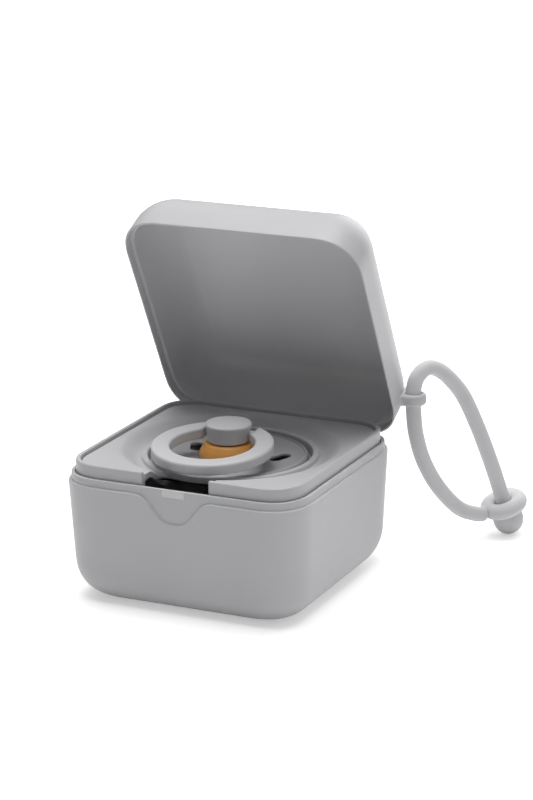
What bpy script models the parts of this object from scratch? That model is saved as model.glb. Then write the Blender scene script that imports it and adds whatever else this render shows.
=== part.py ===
"""Pacifier box: a square base, a hinged lid, a lift-out tray with a pacifier, and a silicone strap.

Metres, +Z up. The origin is the middle of the flat foot, the front is -Y and the hinge is at +Y.
The lid is modelled closed, about its hinge, and stands open on its heel.
"""
import math

import bmesh
import bpy
from mathutils import Matrix, Vector

# Clearances shared by all the pieces
GAP = 0.0003
OVERRUN = 0.0020
MERGE = 0.000001
EDGE = 0.0003

# Outline of the box, seen from above
WIDTH = 0.0750
CORNER = 0.01355
CORNER_POWER = 2.4
FOOT_POWER = 2.28
CROWN_POWER = 1.86
FOOT_CORNER_SHARE = 0.91
CROWN_CORNER_SHARE = 0.43
CORNER_STEPS = 8
SIDE_STEPS = 2
HALF = WIDTH / 2

# Base shell
BASE_HEIGHT = 0.03527
BASE_DRAFT = 0.0016
BASE_ROUND_RISE = 0.0119
BASE_ROUND_REACH = 0.0097
ROUND_STEPS = 6
LEDGE = 0.00085
LIP_RISE = 0.0023
LIP_WALL = 0.0010
SEAT_DROP = 0.0060
SEAT_WIDTH = 0.00155
INNER_TAPER = 0.0005
FLOOR_WALL = 0.0022
INNER_ROUND_RISE = 0.0097
INNER_ROUND_REACH = 0.0082

# Finger dip and catch in the middle of the front
DIP_WIDTH = 0.0230
DIP_DEPTH = 0.0075
CATCH_WIDTH = 0.0066
CATCH_HEIGHT = 0.0018
CATCH_PROUD = 0.00025

# Snap hinge at the back
HINGE_OUT = 0.0006
BARREL_RADIUS = 0.0016
BARREL_WIDTH = 0.0160
KNUCKLE_WIDTH = 0.0047
GUSSET_DROP = 0.0082
EMBED = 0.0004
PEG_RADIUS = 0.0009
PEG_LENGTH = 0.0035
WEB_RISE = 0.0060
HEEL_REACH = 0.0039
HEEL_THICKNESS = 0.0015
LID_OPEN_DEG = 62.9

# Lid shell
LID_HEIGHT = 0.01945
LID_DRAFT = 0.0002
LID_ROUND_RISE = 0.0133
LID_ROUND_REACH = 0.0095
LID_WALL = 0.00175
LID_INNER_REACH = 0.0083
RIM_WALL = 0.00055
RIM_STEP = 0.0027

# Strap lug on the lid's right side
LUG_ALONG = 0.02836
LUG_UP = 0.00835
LUG_STANDOFF = 0.0026
LUG_WALL = 0.0014
LUG_HEIGHT = 0.0035
LUG_ROOT = 0.0009
LUG_ROUND = 0.0012

# Strap: one round cord that passes the lug, an eye and a ball
CORD_RADIUS = 0.00215
CORD_CLEAR = 0.0003
STRAP_TURN_DEG = 53.0
STRAP_HEIGHT = 0.05645
CORD_STEP = 0.0042
EYE_RADIUS = 0.0048
EYE_TUBE = 0.00215
BALL_RADIUS = 0.00465
EYE_ALONG = 0.03205
EYE_ABOVE = 0.00963
BALL_ALONG = 0.03377

# Tray
TRAY_RIM_WIDTH = 0.0013
TRAY_RIM_RISE = 0.0060
TRAY_PLATE_RISE = 0.00495
TRAY_SKIRT_WALL = 0.0022
TRAY_WALL = 0.0020
TRAY_CORNER_STEPS = 6
TRAY_SIDE_STEPS = 8
WELL_RADIUS = 0.02385
WELL_FLANGE_WALL = 0.0013
WELL_FLANGE_WIDTH = 0.0053
RIDGE_WIDTH = 0.0018
RIDGE_RISE = 0.00304
DISH_FLOOR_RISE = 0.0024
PLATE_WIDTH = 0.00265
NOTCH_WIDTH = 0.0207
NOTCH_FILLET = 0.0030
NOTCH_BAND = 0.0018

# Pacifier shield
SHIELD_CLEAR = 0.0013
SHIELD_EDGE_RISE = 0.0029
SHIELD_CENTRE_RISE = 0.0013
SHIELD_WALL = 0.0020
SHIELD_BEAD = 0.0013
VENT_INSET = 0.00825
VENT_LENGTH = 0.0073
VENT_WIDTH = 0.0028
VENT_ANGLES_DEG = (22, 158, 270)
VENT_TURNS_DEG = (44, -44, 90)

# Pacifier teat
TEAT_COLLAR_RADIUS = 0.0087
TEAT_COLLAR_RISE = 0.0063
TEAT_NECK_RADIUS = 0.0052
TEAT_BULB_RADIUS = 0.0080
TEAT_LENGTH = 0.0270
TEAT_WALL = 0.0018

# Pacifier knob and its pivot hole
KNOB_TOP_RADIUS = 0.0070
KNOB_FOOT_RADIUS = 0.0063
KNOB_HEIGHT = 0.0053
KNOB_ROUND = 0.0006
KNOB_DOME = 0.0003
STEM_RADIUS = 0.0025
STEM_LENGTH = 0.0080
PIVOT_BACK = 0.0010
PIVOT_UP = 0.00205

# Pacifier ring
RING_OUTER_RADIUS = 0.0176
RING_WIDTH = 0.0049
RING_THICKNESS = 0.0026
RING_ROUND = 0.0005
RING_BACK = 0.00435
RING_MOUTH = 0.0150
RING_BAR_RADIUS = 0.0012
RING_REST = 0.0001

# Places that several pieces share
LIP_OUTER = HALF - LEDGE
LIP_INNER = LIP_OUTER - LIP_WALL
LIP_TOP = BASE_HEIGHT + LIP_RISE
SEAT_HEIGHT = BASE_HEIGHT - SEAT_DROP
SEAT_INNER = LIP_INNER - SEAT_WIDTH
HINGE_Y = HALF + HINGE_OUT
HINGE_Z = BASE_HEIGHT
BARREL_CLEAR = BARREL_RADIUS + GAP
LID_RIM = BASE_HEIGHT + GAP
TRAY_OUTER = LIP_INNER - GAP
DISH_RADIUS = TRAY_OUTER - PLATE_WIDTH
RIDGE_RADIUS = WELL_RADIUS + RIDGE_WIDTH
WELL_HOLE_RADIUS = WELL_RADIUS - WELL_FLANGE_WIDTH
SHIELD_RADIUS = WELL_RADIUS - SHIELD_CLEAR
VENT_RADIUS = SHIELD_RADIUS - VENT_INSET
SHIELD_SEAT = BASE_HEIGHT + SHIELD_CENTRE_RISE - SHIELD_WALL + SHIELD_BEAD / 2
KNOB_FOOT = BASE_HEIGHT + TEAT_COLLAR_RISE + GAP
PIVOT = Vector((0, PIVOT_BACK, KNOB_FOOT + PIVOT_UP))
RING_INNER_RADIUS = RING_OUTER_RADIUS - RING_WIDTH
RING_REACH = RING_OUTER_RADIUS - RING_BACK
LUG_BORE = CORD_RADIUS + CORD_CLEAR


def fresh_scene():
    """Start from an empty scene."""
    for thing in list(bpy.data.objects):
        bpy.data.objects.remove(thing, do_unlink=True)


def settle(thing, smooth_deg=40):
    """Take a piece's cuts and joins into its mesh, and mark the edges they leave."""
    tools = [step.object for step in thing.modifiers]
    shape = thing.evaluated_get(bpy.context.evaluated_depsgraph_get())
    thing.data = bpy.data.meshes.new_from_object(shape)
    thing.modifiers.clear()
    thing.data.set_sharp_from_angle(angle=math.radians(smooth_deg))
    for tool in tools:
        bpy.data.objects.remove(tool, do_unlink=True)


def finish(thing, colour, roughness):
    """Give a piece its own plastic, rubber or latex surface."""
    if thing.modifiers:
        settle(thing)
    surface = bpy.data.materials.new(thing.name + "_surface")
    surface.use_nodes = True
    shader = surface.node_tree.nodes["Principled BSDF"]
    shader.inputs["Base Color"].default_value = (*colour, 1)
    shader.inputs["Roughness"].default_value = roughness
    shader.inputs["Metallic"].default_value = 0
    thing.data.materials.append(surface)


def add_pivot(name, place, turn=(0, 0, 0)):
    """An empty on a joint's axis, which carries the moving piece."""
    pivot = bpy.data.objects.new(name, None)
    pivot.location = place
    pivot.rotation_euler = turn
    pivot.empty_display_size = BARREL_RADIUS
    bpy.context.scene.collection.objects.link(pivot)
    return pivot


def add_mesh(name, bm, pivot=None, smooth_deg=40):
    """Make an object of a bmesh; with a pivot, the shape is set about that pivot's place."""
    if pivot:
        bm.transform(Matrix.Translation(-pivot.location))
    bmesh.ops.recalc_face_normals(bm, faces=bm.faces)
    mesh = bpy.data.meshes.new(name)
    bm.to_mesh(mesh)
    bm.free()
    mesh.shade_smooth()
    mesh.set_sharp_from_angle(angle=math.radians(smooth_deg))
    thing = bpy.data.objects.new(name, mesh)
    thing.parent = pivot
    bpy.context.scene.collection.objects.link(thing)
    return thing


def combine(target, tool, operation="DIFFERENCE"):
    """Cut a hidden tool out of a piece, or fuse it on with UNION."""
    tool.hide_render = True
    tool.display_type = "WIRE"
    step = target.modifiers.new(tool.name, "BOOLEAN")
    step.object = tool
    step.operation = operation
    step.solver = "EXACT"


def arc(radius, start_deg, end_deg, steps, centre=(0, 0)):
    """Points along an arc, both ends included."""
    points = []
    for step in range(steps + 1):
        angle = math.radians(start_deg + (end_deg - start_deg) * step / steps)
        points.append((centre[0] + radius * math.cos(angle), centre[1] + radius * math.sin(angle)))
    return points


def quarter(steps, power):
    """Shares in and up, from the wall round to the flat, along a superelliptic rounding."""
    turns = [math.pi / 2 * step / steps for step in range(steps)]
    bend = 2 / power
    return [(math.cos(turn) ** bend, math.sin(turn) ** bend) for turn in turns] + [(0, 1)]


def rounded_square(half, corner, side_steps=SIDE_STEPS, corner_steps=CORNER_STEPS):
    """Square with superelliptic corners, seen from above, counter-clockwise."""
    straight = half - corner
    bend = 2 / CORNER_POWER
    side = []
    for step in range(side_steps):
        side.append((half, straight * (2 * step / side_steps - 1)))
    for step in range(corner_steps):
        angle = math.pi / 2 * step / corner_steps
        side.append((
            straight + corner * math.cos(angle) ** bend,
            straight + corner * math.sin(angle) ** bend,
        ))
    points = []
    for quarter_turn in range(4):
        turn = Matrix.Rotation(math.pi / 2 * quarter_turn, 2)
        points.extend(tuple(turn @ Vector(point)) for point in side)
    return points


def inset_corner(half):
    """Corner size that keeps a wall as thick round the corner as along the side."""
    return CORNER - (HALF - half)


def scaled_corner(half, out_share=1, flat_share=1):
    """Corner size that shrinks with the outline, and further towards a rounded foot or crown."""
    return CORNER * half / HALF * (flat_share + (1 - flat_share) * out_share)


def loft(loops, closed=False):
    """Skin matching loops of 3-D points; the ends are capped unless the loops close on themselves."""
    bm = bmesh.new()
    rings = [[bm.verts.new(point) for point in loop] for loop in loops]
    followers = rings[1:] + (rings[:1] if closed else [])
    for lower, upper in zip(rings, followers):
        for index in range(len(lower)):
            after = (index + 1) % len(lower)
            bm.faces.new((lower[index], lower[after], upper[after], upper[index]))
    if not closed:
        bm.faces.new(rings[0])
        bm.faces.new(rings[-1])
    return bm


def square_loops(sections):
    """Turn sections (half, corner, height) into loops of points."""
    return [[(x, y, height) for x, y in rounded_square(half, corner)] for half, corner, height in sections]


def prism_x(outline, low, high):
    """Extrude an outline of (y, z) points along X, between two planes."""
    return loft([[(x, y, z) for y, z in outline] for x in (low, high)])


def prism_z(outline, low, high):
    """Extrude an outline of (x, y) points along Z, between two planes."""
    return loft([[(x, y, z) for x, y in outline] for z in (low, high)])


def box(low, high):
    """Closed box between two corners."""
    outline = ((low[0], low[1]), (high[0], low[1]), (high[0], high[1]), (low[0], high[1]))
    return prism_z(outline, low[2], high[2])


def rod_x(radius, half_length, y, z, steps=16):
    """Round bar along X, centred on the middle plane."""
    return prism_x(arc(radius, 0, 360 - 360 / steps, steps - 1, (y, z)), -half_length, half_length)


def turned(profile, steps, closed=False):
    """Revolve a profile of (radius, height) points about the upright axis."""
    bm = bmesh.new()
    verts = [bm.verts.new((radius, 0, height)) for radius, height in profile]
    edges = [bm.edges.new(pair) for pair in zip(verts, verts[1:])]
    if closed:
        edges.append(bm.edges.new((verts[-1], verts[0])))
    bmesh.ops.spin(
        bm, geom=verts + edges, cent=(0, 0, 0), axis=(0, 0, 1),
        angle=2 * math.pi, steps=steps, use_merge=True,
    )
    bmesh.ops.remove_doubles(bm, verts=bm.verts, dist=MERGE)
    return bm


def base_wall(height):
    """Half width of the base's outer wall at a height, before its foot rounds in."""
    return HALF - BASE_DRAFT * (BASE_HEIGHT - height) / BASE_HEIGHT


def about_hinge(points):
    """Move (y, z) points given from the hinge axis to their place."""
    return [(HINGE_Y + y, HINGE_Z + z) for y, z in points]


def base_sections():
    """Rounded squares from the foot, up the outside, over the lip and down into the cavity."""
    sections = []
    for out, rise in reversed(quarter(ROUND_STEPS, FOOT_POWER)):
        height = BASE_ROUND_RISE * (1 - rise)
        half = base_wall(height) - BASE_ROUND_REACH * (1 - out)
        sections.append((half, scaled_corner(half, out, FOOT_CORNER_SHARE), height))
    for half, height in (
        (base_wall(BASE_HEIGHT - EDGE), BASE_HEIGHT - EDGE),
        (HALF - EDGE, BASE_HEIGHT),
        (LIP_OUTER, BASE_HEIGHT),
        (LIP_OUTER, LIP_TOP - EDGE),
        (LIP_OUTER - EDGE, LIP_TOP),
        (LIP_INNER + EDGE, LIP_TOP),
        (LIP_INNER, LIP_TOP - EDGE),
        (LIP_INNER, SEAT_HEIGHT),
    ):
        sections.append((half, inset_corner(half), height))
    sections.append((SEAT_INNER, scaled_corner(SEAT_INNER), SEAT_HEIGHT))
    for out, rise in quarter(ROUND_STEPS, FOOT_POWER):
        height = FLOOR_WALL + INNER_ROUND_RISE * (1 - rise)
        inner = SEAT_INNER - INNER_TAPER * (SEAT_HEIGHT - height) / SEAT_HEIGHT
        half = inner - INNER_ROUND_REACH * (1 - out)
        sections.append((half, scaled_corner(half, out, FOOT_CORNER_SHARE), height))
    return sections


def add_finger_dip(base):
    """Scoop in the front wall that lets a fingertip under the lid."""
    across_shares = (0, 0.14, 0.28, 0.38, 0.48, 0.57, 0.66, 0.75, 0.84, 0.92, 1)
    fall_shares = (1, 0.985, 0.92, 0.805, 0.65, 0.485, 0.32, 0.175, 0.08, 0.03, 0)
    right = []
    for across, fall in zip(across_shares, fall_shares):
        right.append((DIP_WIDTH / 2 * across, BASE_HEIGHT + EDGE - (DIP_DEPTH + EDGE) * fall))
    profile = [(-x, z) for x, z in reversed(right[1:])] + right
    top = BASE_HEIGHT + OVERRUN
    profile.append((profile[-1][0], top))
    profile.append((profile[0][0], top))
    planes = (-HALF - OVERRUN, -LIP_OUTER - EDGE / 3)
    dip = loft([[(x, y, z) for x, z in profile] for y in planes])
    combine(base, add_mesh("finger_dip", dip))


def add_catch(base):
    """Sloped nib on the lip's front that the lid's rim snaps over."""
    top = LIP_TOP - EDGE
    low = top - CATCH_HEIGHT
    face = -LIP_OUTER - CATCH_PROUD
    profile = (
        (-LIP_OUTER + LIP_WALL / 2, low),
        (face, low),
        (face, low + EDGE / 2),
        (-LIP_OUTER - EDGE / 3, top),
        (-LIP_OUTER + LIP_WALL / 2, top),
    )
    nib = prism_x(profile, -CATCH_WIDTH / 2, CATCH_WIDTH / 2)
    combine(base, add_mesh("catch_nib", nib), "UNION")


def knuckle_outline():
    """Round knuckle about the hinge axis with a gusset that runs down into the wall."""
    foot = base_wall(HINGE_Z - GUSSET_DROP) - EMBED - HINGE_Y
    points = arc(BARREL_RADIUS, -35, 180, 10)
    points.append((-BARREL_RADIUS, -GUSSET_DROP))
    points.append((foot, -GUSSET_DROP))
    return about_hinge(points)


def barrel_space():
    """Room that the lid's barrel, web and heel turn in, open to the back."""
    outside = base_wall(BASE_HEIGHT) - HINGE_Y - EDGE / 3
    edge_deg = math.degrees(math.acos(outside / BARREL_CLEAR))
    points = arc(BARREL_CLEAR, edge_deg, 360 - edge_deg, 8)
    reach = HEEL_REACH + OVERRUN
    points.extend(((outside, -reach - BARREL_RADIUS), (reach, -reach - BARREL_RADIUS)))
    points.extend(((reach, reach), (outside, reach)))
    return about_hinge(points)


def add_base_hinge(base):
    """Two knuckles with blind peg holes, either side of the room for the lid's barrel."""
    inner = BARREL_WIDTH / 2 + GAP
    outer = inner + KNUCKLE_WIDTH
    for side in (-1, 1):
        low, high = sorted((side * (inner - EMBED), side * outer))
        knuckle = prism_x(knuckle_outline(), low, high)
        combine(base, add_mesh(f"base_knuckle_{side}", knuckle), "UNION")
    combine(base, add_mesh("barrel_space", prism_x(barrel_space(), -inner, inner)))
    hole = rod_x(PEG_RADIUS + GAP, BARREL_WIDTH / 2 + PEG_LENGTH + GAP, HINGE_Y, HINGE_Z, 12)
    combine(base, add_mesh("peg_holes", hole))


def make_base():
    """Deep square bowl with a thin lip round its rim and a seat for the tray inside."""
    base = add_mesh("base_shell", loft(square_loops(base_sections())))
    add_finger_dip(base)
    add_catch(base)
    add_base_hinge(base)
    finish(base, (0.80, 0.80, 0.81), 0.32)
    return base


def lid_outside():
    """Rounded squares of the lid's outside, from the rim over the crown."""
    spring = BASE_HEIGHT + LID_HEIGHT - LID_ROUND_RISE
    sections = [
        (HALF - EDGE, inset_corner(HALF - EDGE), LID_RIM),
        (lid_wall(LID_RIM + EDGE), CORNER, LID_RIM + EDGE),
    ]
    for out, rise in quarter(ROUND_STEPS + 1, CROWN_POWER):
        height = spring + LID_ROUND_RISE * rise
        half = lid_wall(height) - LID_ROUND_REACH * (1 - out)
        sections.append((half, scaled_corner(half, out, CROWN_CORNER_SHARE), height))
    return sections


def lid_inside(rim):
    """Rounded squares of the lid's inside, from the ceiling to the step and out to the rim."""
    spring = BASE_HEIGHT + LID_HEIGHT - LID_ROUND_RISE
    sections = []
    for out, rise in reversed(quarter(ROUND_STEPS + 1, CROWN_POWER)):
        height = spring + (LID_ROUND_RISE - LID_WALL) * rise
        half = lid_wall(height) - LID_WALL - LID_INNER_REACH * (1 - out)
        sections.append((half, lid_inner_corner(half, out), height))
    rebate = HALF - RIM_WALL
    step = BASE_HEIGHT + RIM_STEP
    shoulder = lid_wall(step) - LID_WALL
    sections.append((shoulder, lid_inner_corner(shoulder), step))
    sections.append((rebate, inset_corner(rebate), step))
    sections.append((rebate, inset_corner(rebate), rim))
    return sections


def lid_wall(height):
    """Half width of the lid's outer wall at a height, before its crown rounds in."""
    return HALF - LID_DRAFT * (height - BASE_HEIGHT) / LID_HEIGHT


def lid_inner_corner(half, out_share=1):
    """Corner size inside the lid: parallel to the outside at the rim, shrinking to the ceiling."""
    widest = HALF - LID_WALL
    shrink = CROWN_CORNER_SHARE + (1 - CROWN_CORNER_SHARE) * out_share
    return inset_corner(widest) * half / widest * shrink


def add_lid_hinge(lid, hinge):
    """Barrel with two snap pegs, the web that carries it, and the heel that stops the lid."""
    sweep = BARREL_WIDTH / 2 + GAP + KNUCKLE_WIDTH + GAP
    combine(lid, add_mesh("knuckle_space", rod_x(BARREL_CLEAR, sweep, HINGE_Y, HINGE_Z), hinge))
    inside = HALF - RIM_WALL / 2 - HINGE_Y
    inside_deg = math.degrees(math.acos(inside / BARREL_RADIUS))
    web = arc(BARREL_RADIUS, inside_deg, 360, 12)
    web.append((inside, WEB_RISE))
    half = BARREL_WIDTH / 2
    combine(lid, add_mesh("barrel_web", prism_x(about_hinge(web), -half, half), hinge), "UNION")
    combine(lid, add_mesh("heel", prism_x(heel_outline(), -half, half), hinge), "UNION")
    pegs = rod_x(PEG_RADIUS, half + PEG_LENGTH, HINGE_Y, HINGE_Z, 12)
    combine(lid, add_mesh("pegs", pegs, hinge), "UNION")


def heel_outline():
    """Heel drawn against the base's wall with the lid open, then turned back to the closed lid."""
    top = -BARREL_RADIUS / 2
    face_top = base_wall(HINGE_Z + top) + GAP - HINGE_Y
    face_tip = base_wall(HINGE_Z - HEEL_REACH) + GAP - HINGE_Y
    opened = (
        (face_top, top),
        (face_tip, -HEEL_REACH),
        (face_tip + HEEL_THICKNESS, -HEEL_REACH),
        (face_top + HEEL_THICKNESS, top),
    )
    turn = Matrix.Rotation(math.radians(LID_OPEN_DEG), 2)
    return about_hinge([tuple(turn @ Vector(point)) for point in opened])


def add_catch_pocket(lid, hinge):
    """Relief inside the front of the rim for the catch nib."""
    half = CATCH_WIDTH / 2 + GAP
    low = (-half, -LIP_OUTER - CATCH_PROUD - GAP, LID_RIM - OVERRUN)
    high = (half, -LIP_INNER, LIP_TOP)
    combine(lid, add_mesh("catch_pocket", box(low, high), hinge))


def lug_place():
    """Middle of the strap lug's bore, with the lid closed."""
    return Vector((HALF + LUG_STANDOFF, LUG_ALONG, BASE_HEIGHT + LUG_UP))


def opened_with_lid(place):
    """Where a point of the closed lid is once the lid stands open."""
    hinge = Vector((0, HINGE_Y, HINGE_Z))
    turn = Matrix.Rotation(math.radians(-LID_OPEN_DEG), 3, "X")
    return hinge + turn @ (place - hinge)


def lug_outline(trim):
    """Belt loop seen along its bore, with a flared root that runs deep into the lid's wall."""
    radius = LUG_BORE + LUG_WALL - trim
    root = radius + LUG_ROOT
    wall = -LUG_STANDOFF
    deep = wall - 2 * LID_WALL
    points = arc(radius, -90, 90, 12)
    points.extend(((wall + LUG_ROOT, radius), (wall - LUG_ROOT, root), (deep, root)))
    points.extend(((deep, -root), (wall - LUG_ROOT, -root), (wall + LUG_ROOT, -radius)))
    return points


def add_lug(lid, hinge):
    """Loop that holds the strap; its bore is upright while the lid stands open."""
    half = LUG_HEIGHT / 2
    flat = half - LUG_ROUND
    edge = arc(LUG_ROUND, -90, 0, 4, (0, -flat)) + arc(LUG_ROUND, 0, 90, 4, (0, flat))
    lug = loft([[(x, y, height) for x, y in lug_outline(LUG_ROUND - out)] for out, height in edge])
    bore = prism_z(arc(LUG_BORE, 0, 345, 23), -half - OVERRUN, half + OVERRUN)
    stand = Matrix.Translation(lug_place()) @ Matrix.Rotation(math.radians(LID_OPEN_DEG), 4, "X")
    lug.transform(stand)
    bore.transform(stand)
    lug = add_mesh("lug", lug, hinge)
    combine(lug, add_mesh("lid_room", loft(square_loops(lid_inside(LID_RIM - OVERRUN))), hinge))
    settle(lug)
    combine(lid, lug, "UNION")
    combine(lid, add_mesh("lug_bore", bore, hinge))


def make_lid():
    """Domed shell whose thin rim laps over the base's lip, standing open on its heel."""
    hinge = add_pivot("lid_hinge_axis", (0, HINGE_Y, HINGE_Z))
    lid = add_mesh("lid_shell", loft(square_loops(lid_inside(LID_RIM) + lid_outside())), hinge)
    add_lid_hinge(lid, hinge)
    add_catch_pocket(lid, hinge)
    add_lug(lid, hinge)
    hinge.rotation_euler = (math.radians(-LID_OPEN_DEG), 0, 0)
    finish(lid, (0.80, 0.80, 0.81), 0.32)
    return lid


def tray_square(half, height):
    """One rounded-square loop of the tray, parallel to the box's wall."""
    outline = rounded_square(half, inset_corner(half), TRAY_SIDE_STEPS, TRAY_CORNER_STEPS)
    return [(x, y, height) for x, y in outline]


def tray_circle(radius, height):
    """One round loop of the tray, its points in line with those of the square loops."""
    outline = rounded_square(TRAY_OUTER, inset_corner(TRAY_OUTER), TRAY_SIDE_STEPS, TRAY_CORNER_STEPS)
    rays = [Vector(point).normalized() * radius for point in outline]
    return [(ray.x, ray.y, height) for ray in rays]


def dish_height(radius):
    """Height of the dish's smooth slope at a radius, and of the plate outside it."""
    low = RIDGE_RADIUS + EDGE
    share = min(max((radius - low) / (DISH_RADIUS - low), 0), 1)
    rise = (1 - math.cos(math.pi * share)) / 2
    return BASE_HEIGHT + DISH_FLOOR_RISE + (TRAY_PLATE_RISE - DISH_FLOOR_RISE) * rise


def dish_profile(drop, steps=6):
    """Radii and heights of the dish from its low ring out to the plate."""
    low = RIDGE_RADIUS + EDGE
    radii = [low + (DISH_RADIUS - low) * step / steps for step in range(steps + 1)]
    return [(radius, dish_height(radius) - drop) for radius in radii]


def tray_loops():
    """Loops from the hole's edge over the well, ridge, dish, plate and rim, then back underneath."""
    flange = SHIELD_SEAT - GAP
    ridge = BASE_HEIGHT + RIDGE_RISE
    plate = BASE_HEIGHT + TRAY_PLATE_RISE
    rim = BASE_HEIGHT + TRAY_RIM_RISE
    rim_inner = TRAY_OUTER - TRAY_RIM_WIDTH
    ridge_middle = (RIDGE_RADIUS + WELL_RADIUS) / 2
    foot = SEAT_HEIGHT + GAP
    skirt_inner = TRAY_OUTER - TRAY_SKIRT_WALL
    loops = [
        tray_circle(WELL_HOLE_RADIUS, flange),
        tray_circle(WELL_RADIUS - EDGE, flange),
        tray_circle(WELL_RADIUS, flange + EDGE),
        tray_circle(WELL_RADIUS, ridge - 2 * EDGE),
        tray_circle(WELL_RADIUS + EDGE, ridge - EDGE / 2),
        tray_circle(ridge_middle, ridge),
        tray_circle(RIDGE_RADIUS - EDGE, ridge - EDGE / 2),
    ]
    loops.extend(tray_circle(radius, height) for radius, height in dish_profile(0))
    loops.extend((
        tray_square(rim_inner, plate),
        tray_square(rim_inner + EDGE / 2, rim - EDGE / 2),
        tray_square(rim_inner + EDGE, rim),
        tray_square(TRAY_OUTER - EDGE, rim),
        tray_square(TRAY_OUTER, rim - EDGE),
        tray_square(TRAY_OUTER, foot),
        tray_square(skirt_inner, foot),
        tray_square(skirt_inner, plate - TRAY_WALL),
    ))
    underneath = dish_profile(TRAY_WALL, 4)
    loops.extend(tray_circle(radius - EDGE, height) for radius, height in reversed(underneath))
    loops.extend((
        tray_circle(WELL_RADIUS + WELL_FLANGE_WALL, flange - WELL_FLANGE_WALL + EDGE),
        tray_circle(WELL_RADIUS + WELL_FLANGE_WALL - EDGE, flange - WELL_FLANGE_WALL),
        tray_circle(WELL_HOLE_RADIUS, flange - WELL_FLANGE_WALL),
    ))
    return loops


def notch_outline():
    """Finger notch: square at the front, with an inner wall that runs round under the ridge."""
    half = NOTCH_WIDTH / 2
    middle_x = half - NOTCH_FILLET
    middle_y = -math.sqrt((RIDGE_RADIUS + NOTCH_FILLET) ** 2 - middle_x ** 2)
    inward_deg = math.degrees(math.atan2(-middle_y, -middle_x))
    side = arc(NOTCH_FILLET, 0, inward_deg, 6, (middle_x, middle_y))
    meet_deg = inward_deg - 180
    round_wall = arc(RIDGE_RADIUS, meet_deg, -180 - meet_deg, 8)
    front = -HALF - OVERRUN
    other_side = [(-x, y) for x, y in reversed(side)]
    return [(half, front)] + side + round_wall[1:-1] + other_side + [(-half, front)]


def make_tray():
    """Lift-out tray: a round dish with a ridge and a well for the pacifier, on a square skirt."""
    tray = add_mesh("tray", loft(tray_loops(), closed=True))
    notch = prism_z(notch_outline(), SEAT_HEIGHT - OVERRUN, BASE_HEIGHT + TRAY_RIM_RISE + OVERRUN)
    combine(tray, add_mesh("finger_notch", notch))
    half = NOTCH_WIDTH / 2 - EDGE
    low = (-half, -RIDGE_RADIUS - OVERRUN, SEAT_HEIGHT - OVERRUN)
    high = (half, -WELL_HOLE_RADIUS + WELL_FLANGE_WIDTH / 2, BASE_HEIGHT + RIDGE_RISE - NOTCH_BAND)
    combine(tray, add_mesh("notch_undercut", box(low, high)))
    finish(tray, (0.80, 0.80, 0.81), 0.35)
    return tray


def shield_profile():
    """Shallow bowl with a rolled edge; its rim lies flat on the tray's flange."""
    hole = TEAT_NECK_RADIUS + GAP
    top = BASE_HEIGHT + SHIELD_CENTRE_RISE
    bottom = top - SHIELD_WALL
    edge = BASE_HEIGHT + SHIELD_EDGE_RISE
    bowl_shares = (0.28, 0.52, 0.76, 1)
    bowl_reach = SHIELD_RADIUS - SHIELD_BEAD - hole
    rise = edge - SHIELD_BEAD / 2 - top
    upper = [(hole, top)]
    for share in bowl_shares:
        upper.append((hole + bowl_reach * share, top + rise * share ** 3))
    edge_middle = (SHIELD_RADIUS - SHIELD_BEAD, edge - SHIELD_BEAD)
    bead = arc(SHIELD_BEAD, 75, 0, 4, edge_middle)
    lower = [(SHIELD_RADIUS, SHIELD_SEAT + SHIELD_BEAD), (SHIELD_RADIUS - EDGE, SHIELD_SEAT + EDGE)]
    lower.append((SHIELD_RADIUS - SHIELD_BEAD, SHIELD_SEAT))
    lower.append((WELL_HOLE_RADIUS - EDGE, SHIELD_SEAT))
    for share in reversed(bowl_shares[:-2]):
        lower.append((hole + bowl_reach * share, bottom + (SHIELD_SEAT - bottom) * share ** 2))
    lower.append((hole, bottom))
    return upper + bead + lower


def vent_outline(angle_deg, turn_deg):
    """Long air hole at an angle about the middle, turned from the radial direction."""
    round_end = VENT_WIDTH / 2
    along = VENT_LENGTH / 2 - round_end
    outline = arc(round_end, -90, 90, 8, (along, 0)) + arc(round_end, 90, 270, 8, (-along, 0))
    middle = arc(VENT_RADIUS, angle_deg, angle_deg, 1)[0]
    turn = Matrix.Rotation(math.radians(angle_deg + turn_deg), 2)
    return [tuple(Vector(middle) + turn @ Vector(point)) for point in outline]


def make_shield():
    """Round mouth shield with three air holes."""
    shield = add_mesh("pacifier_shield", turned(shield_profile(), 40, closed=True))
    low = BASE_HEIGHT - SHIELD_BEAD - OVERRUN
    for number, turns_deg in enumerate(zip(VENT_ANGLES_DEG, VENT_TURNS_DEG)):
        vent = prism_z(vent_outline(*turns_deg), low, BASE_HEIGHT + SHIELD_EDGE_RISE + OVERRUN)
        combine(shield, add_mesh(f"vent_{number}", vent))
    finish(shield, (0.80, 0.80, 0.81), 0.35)
    return shield


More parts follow.
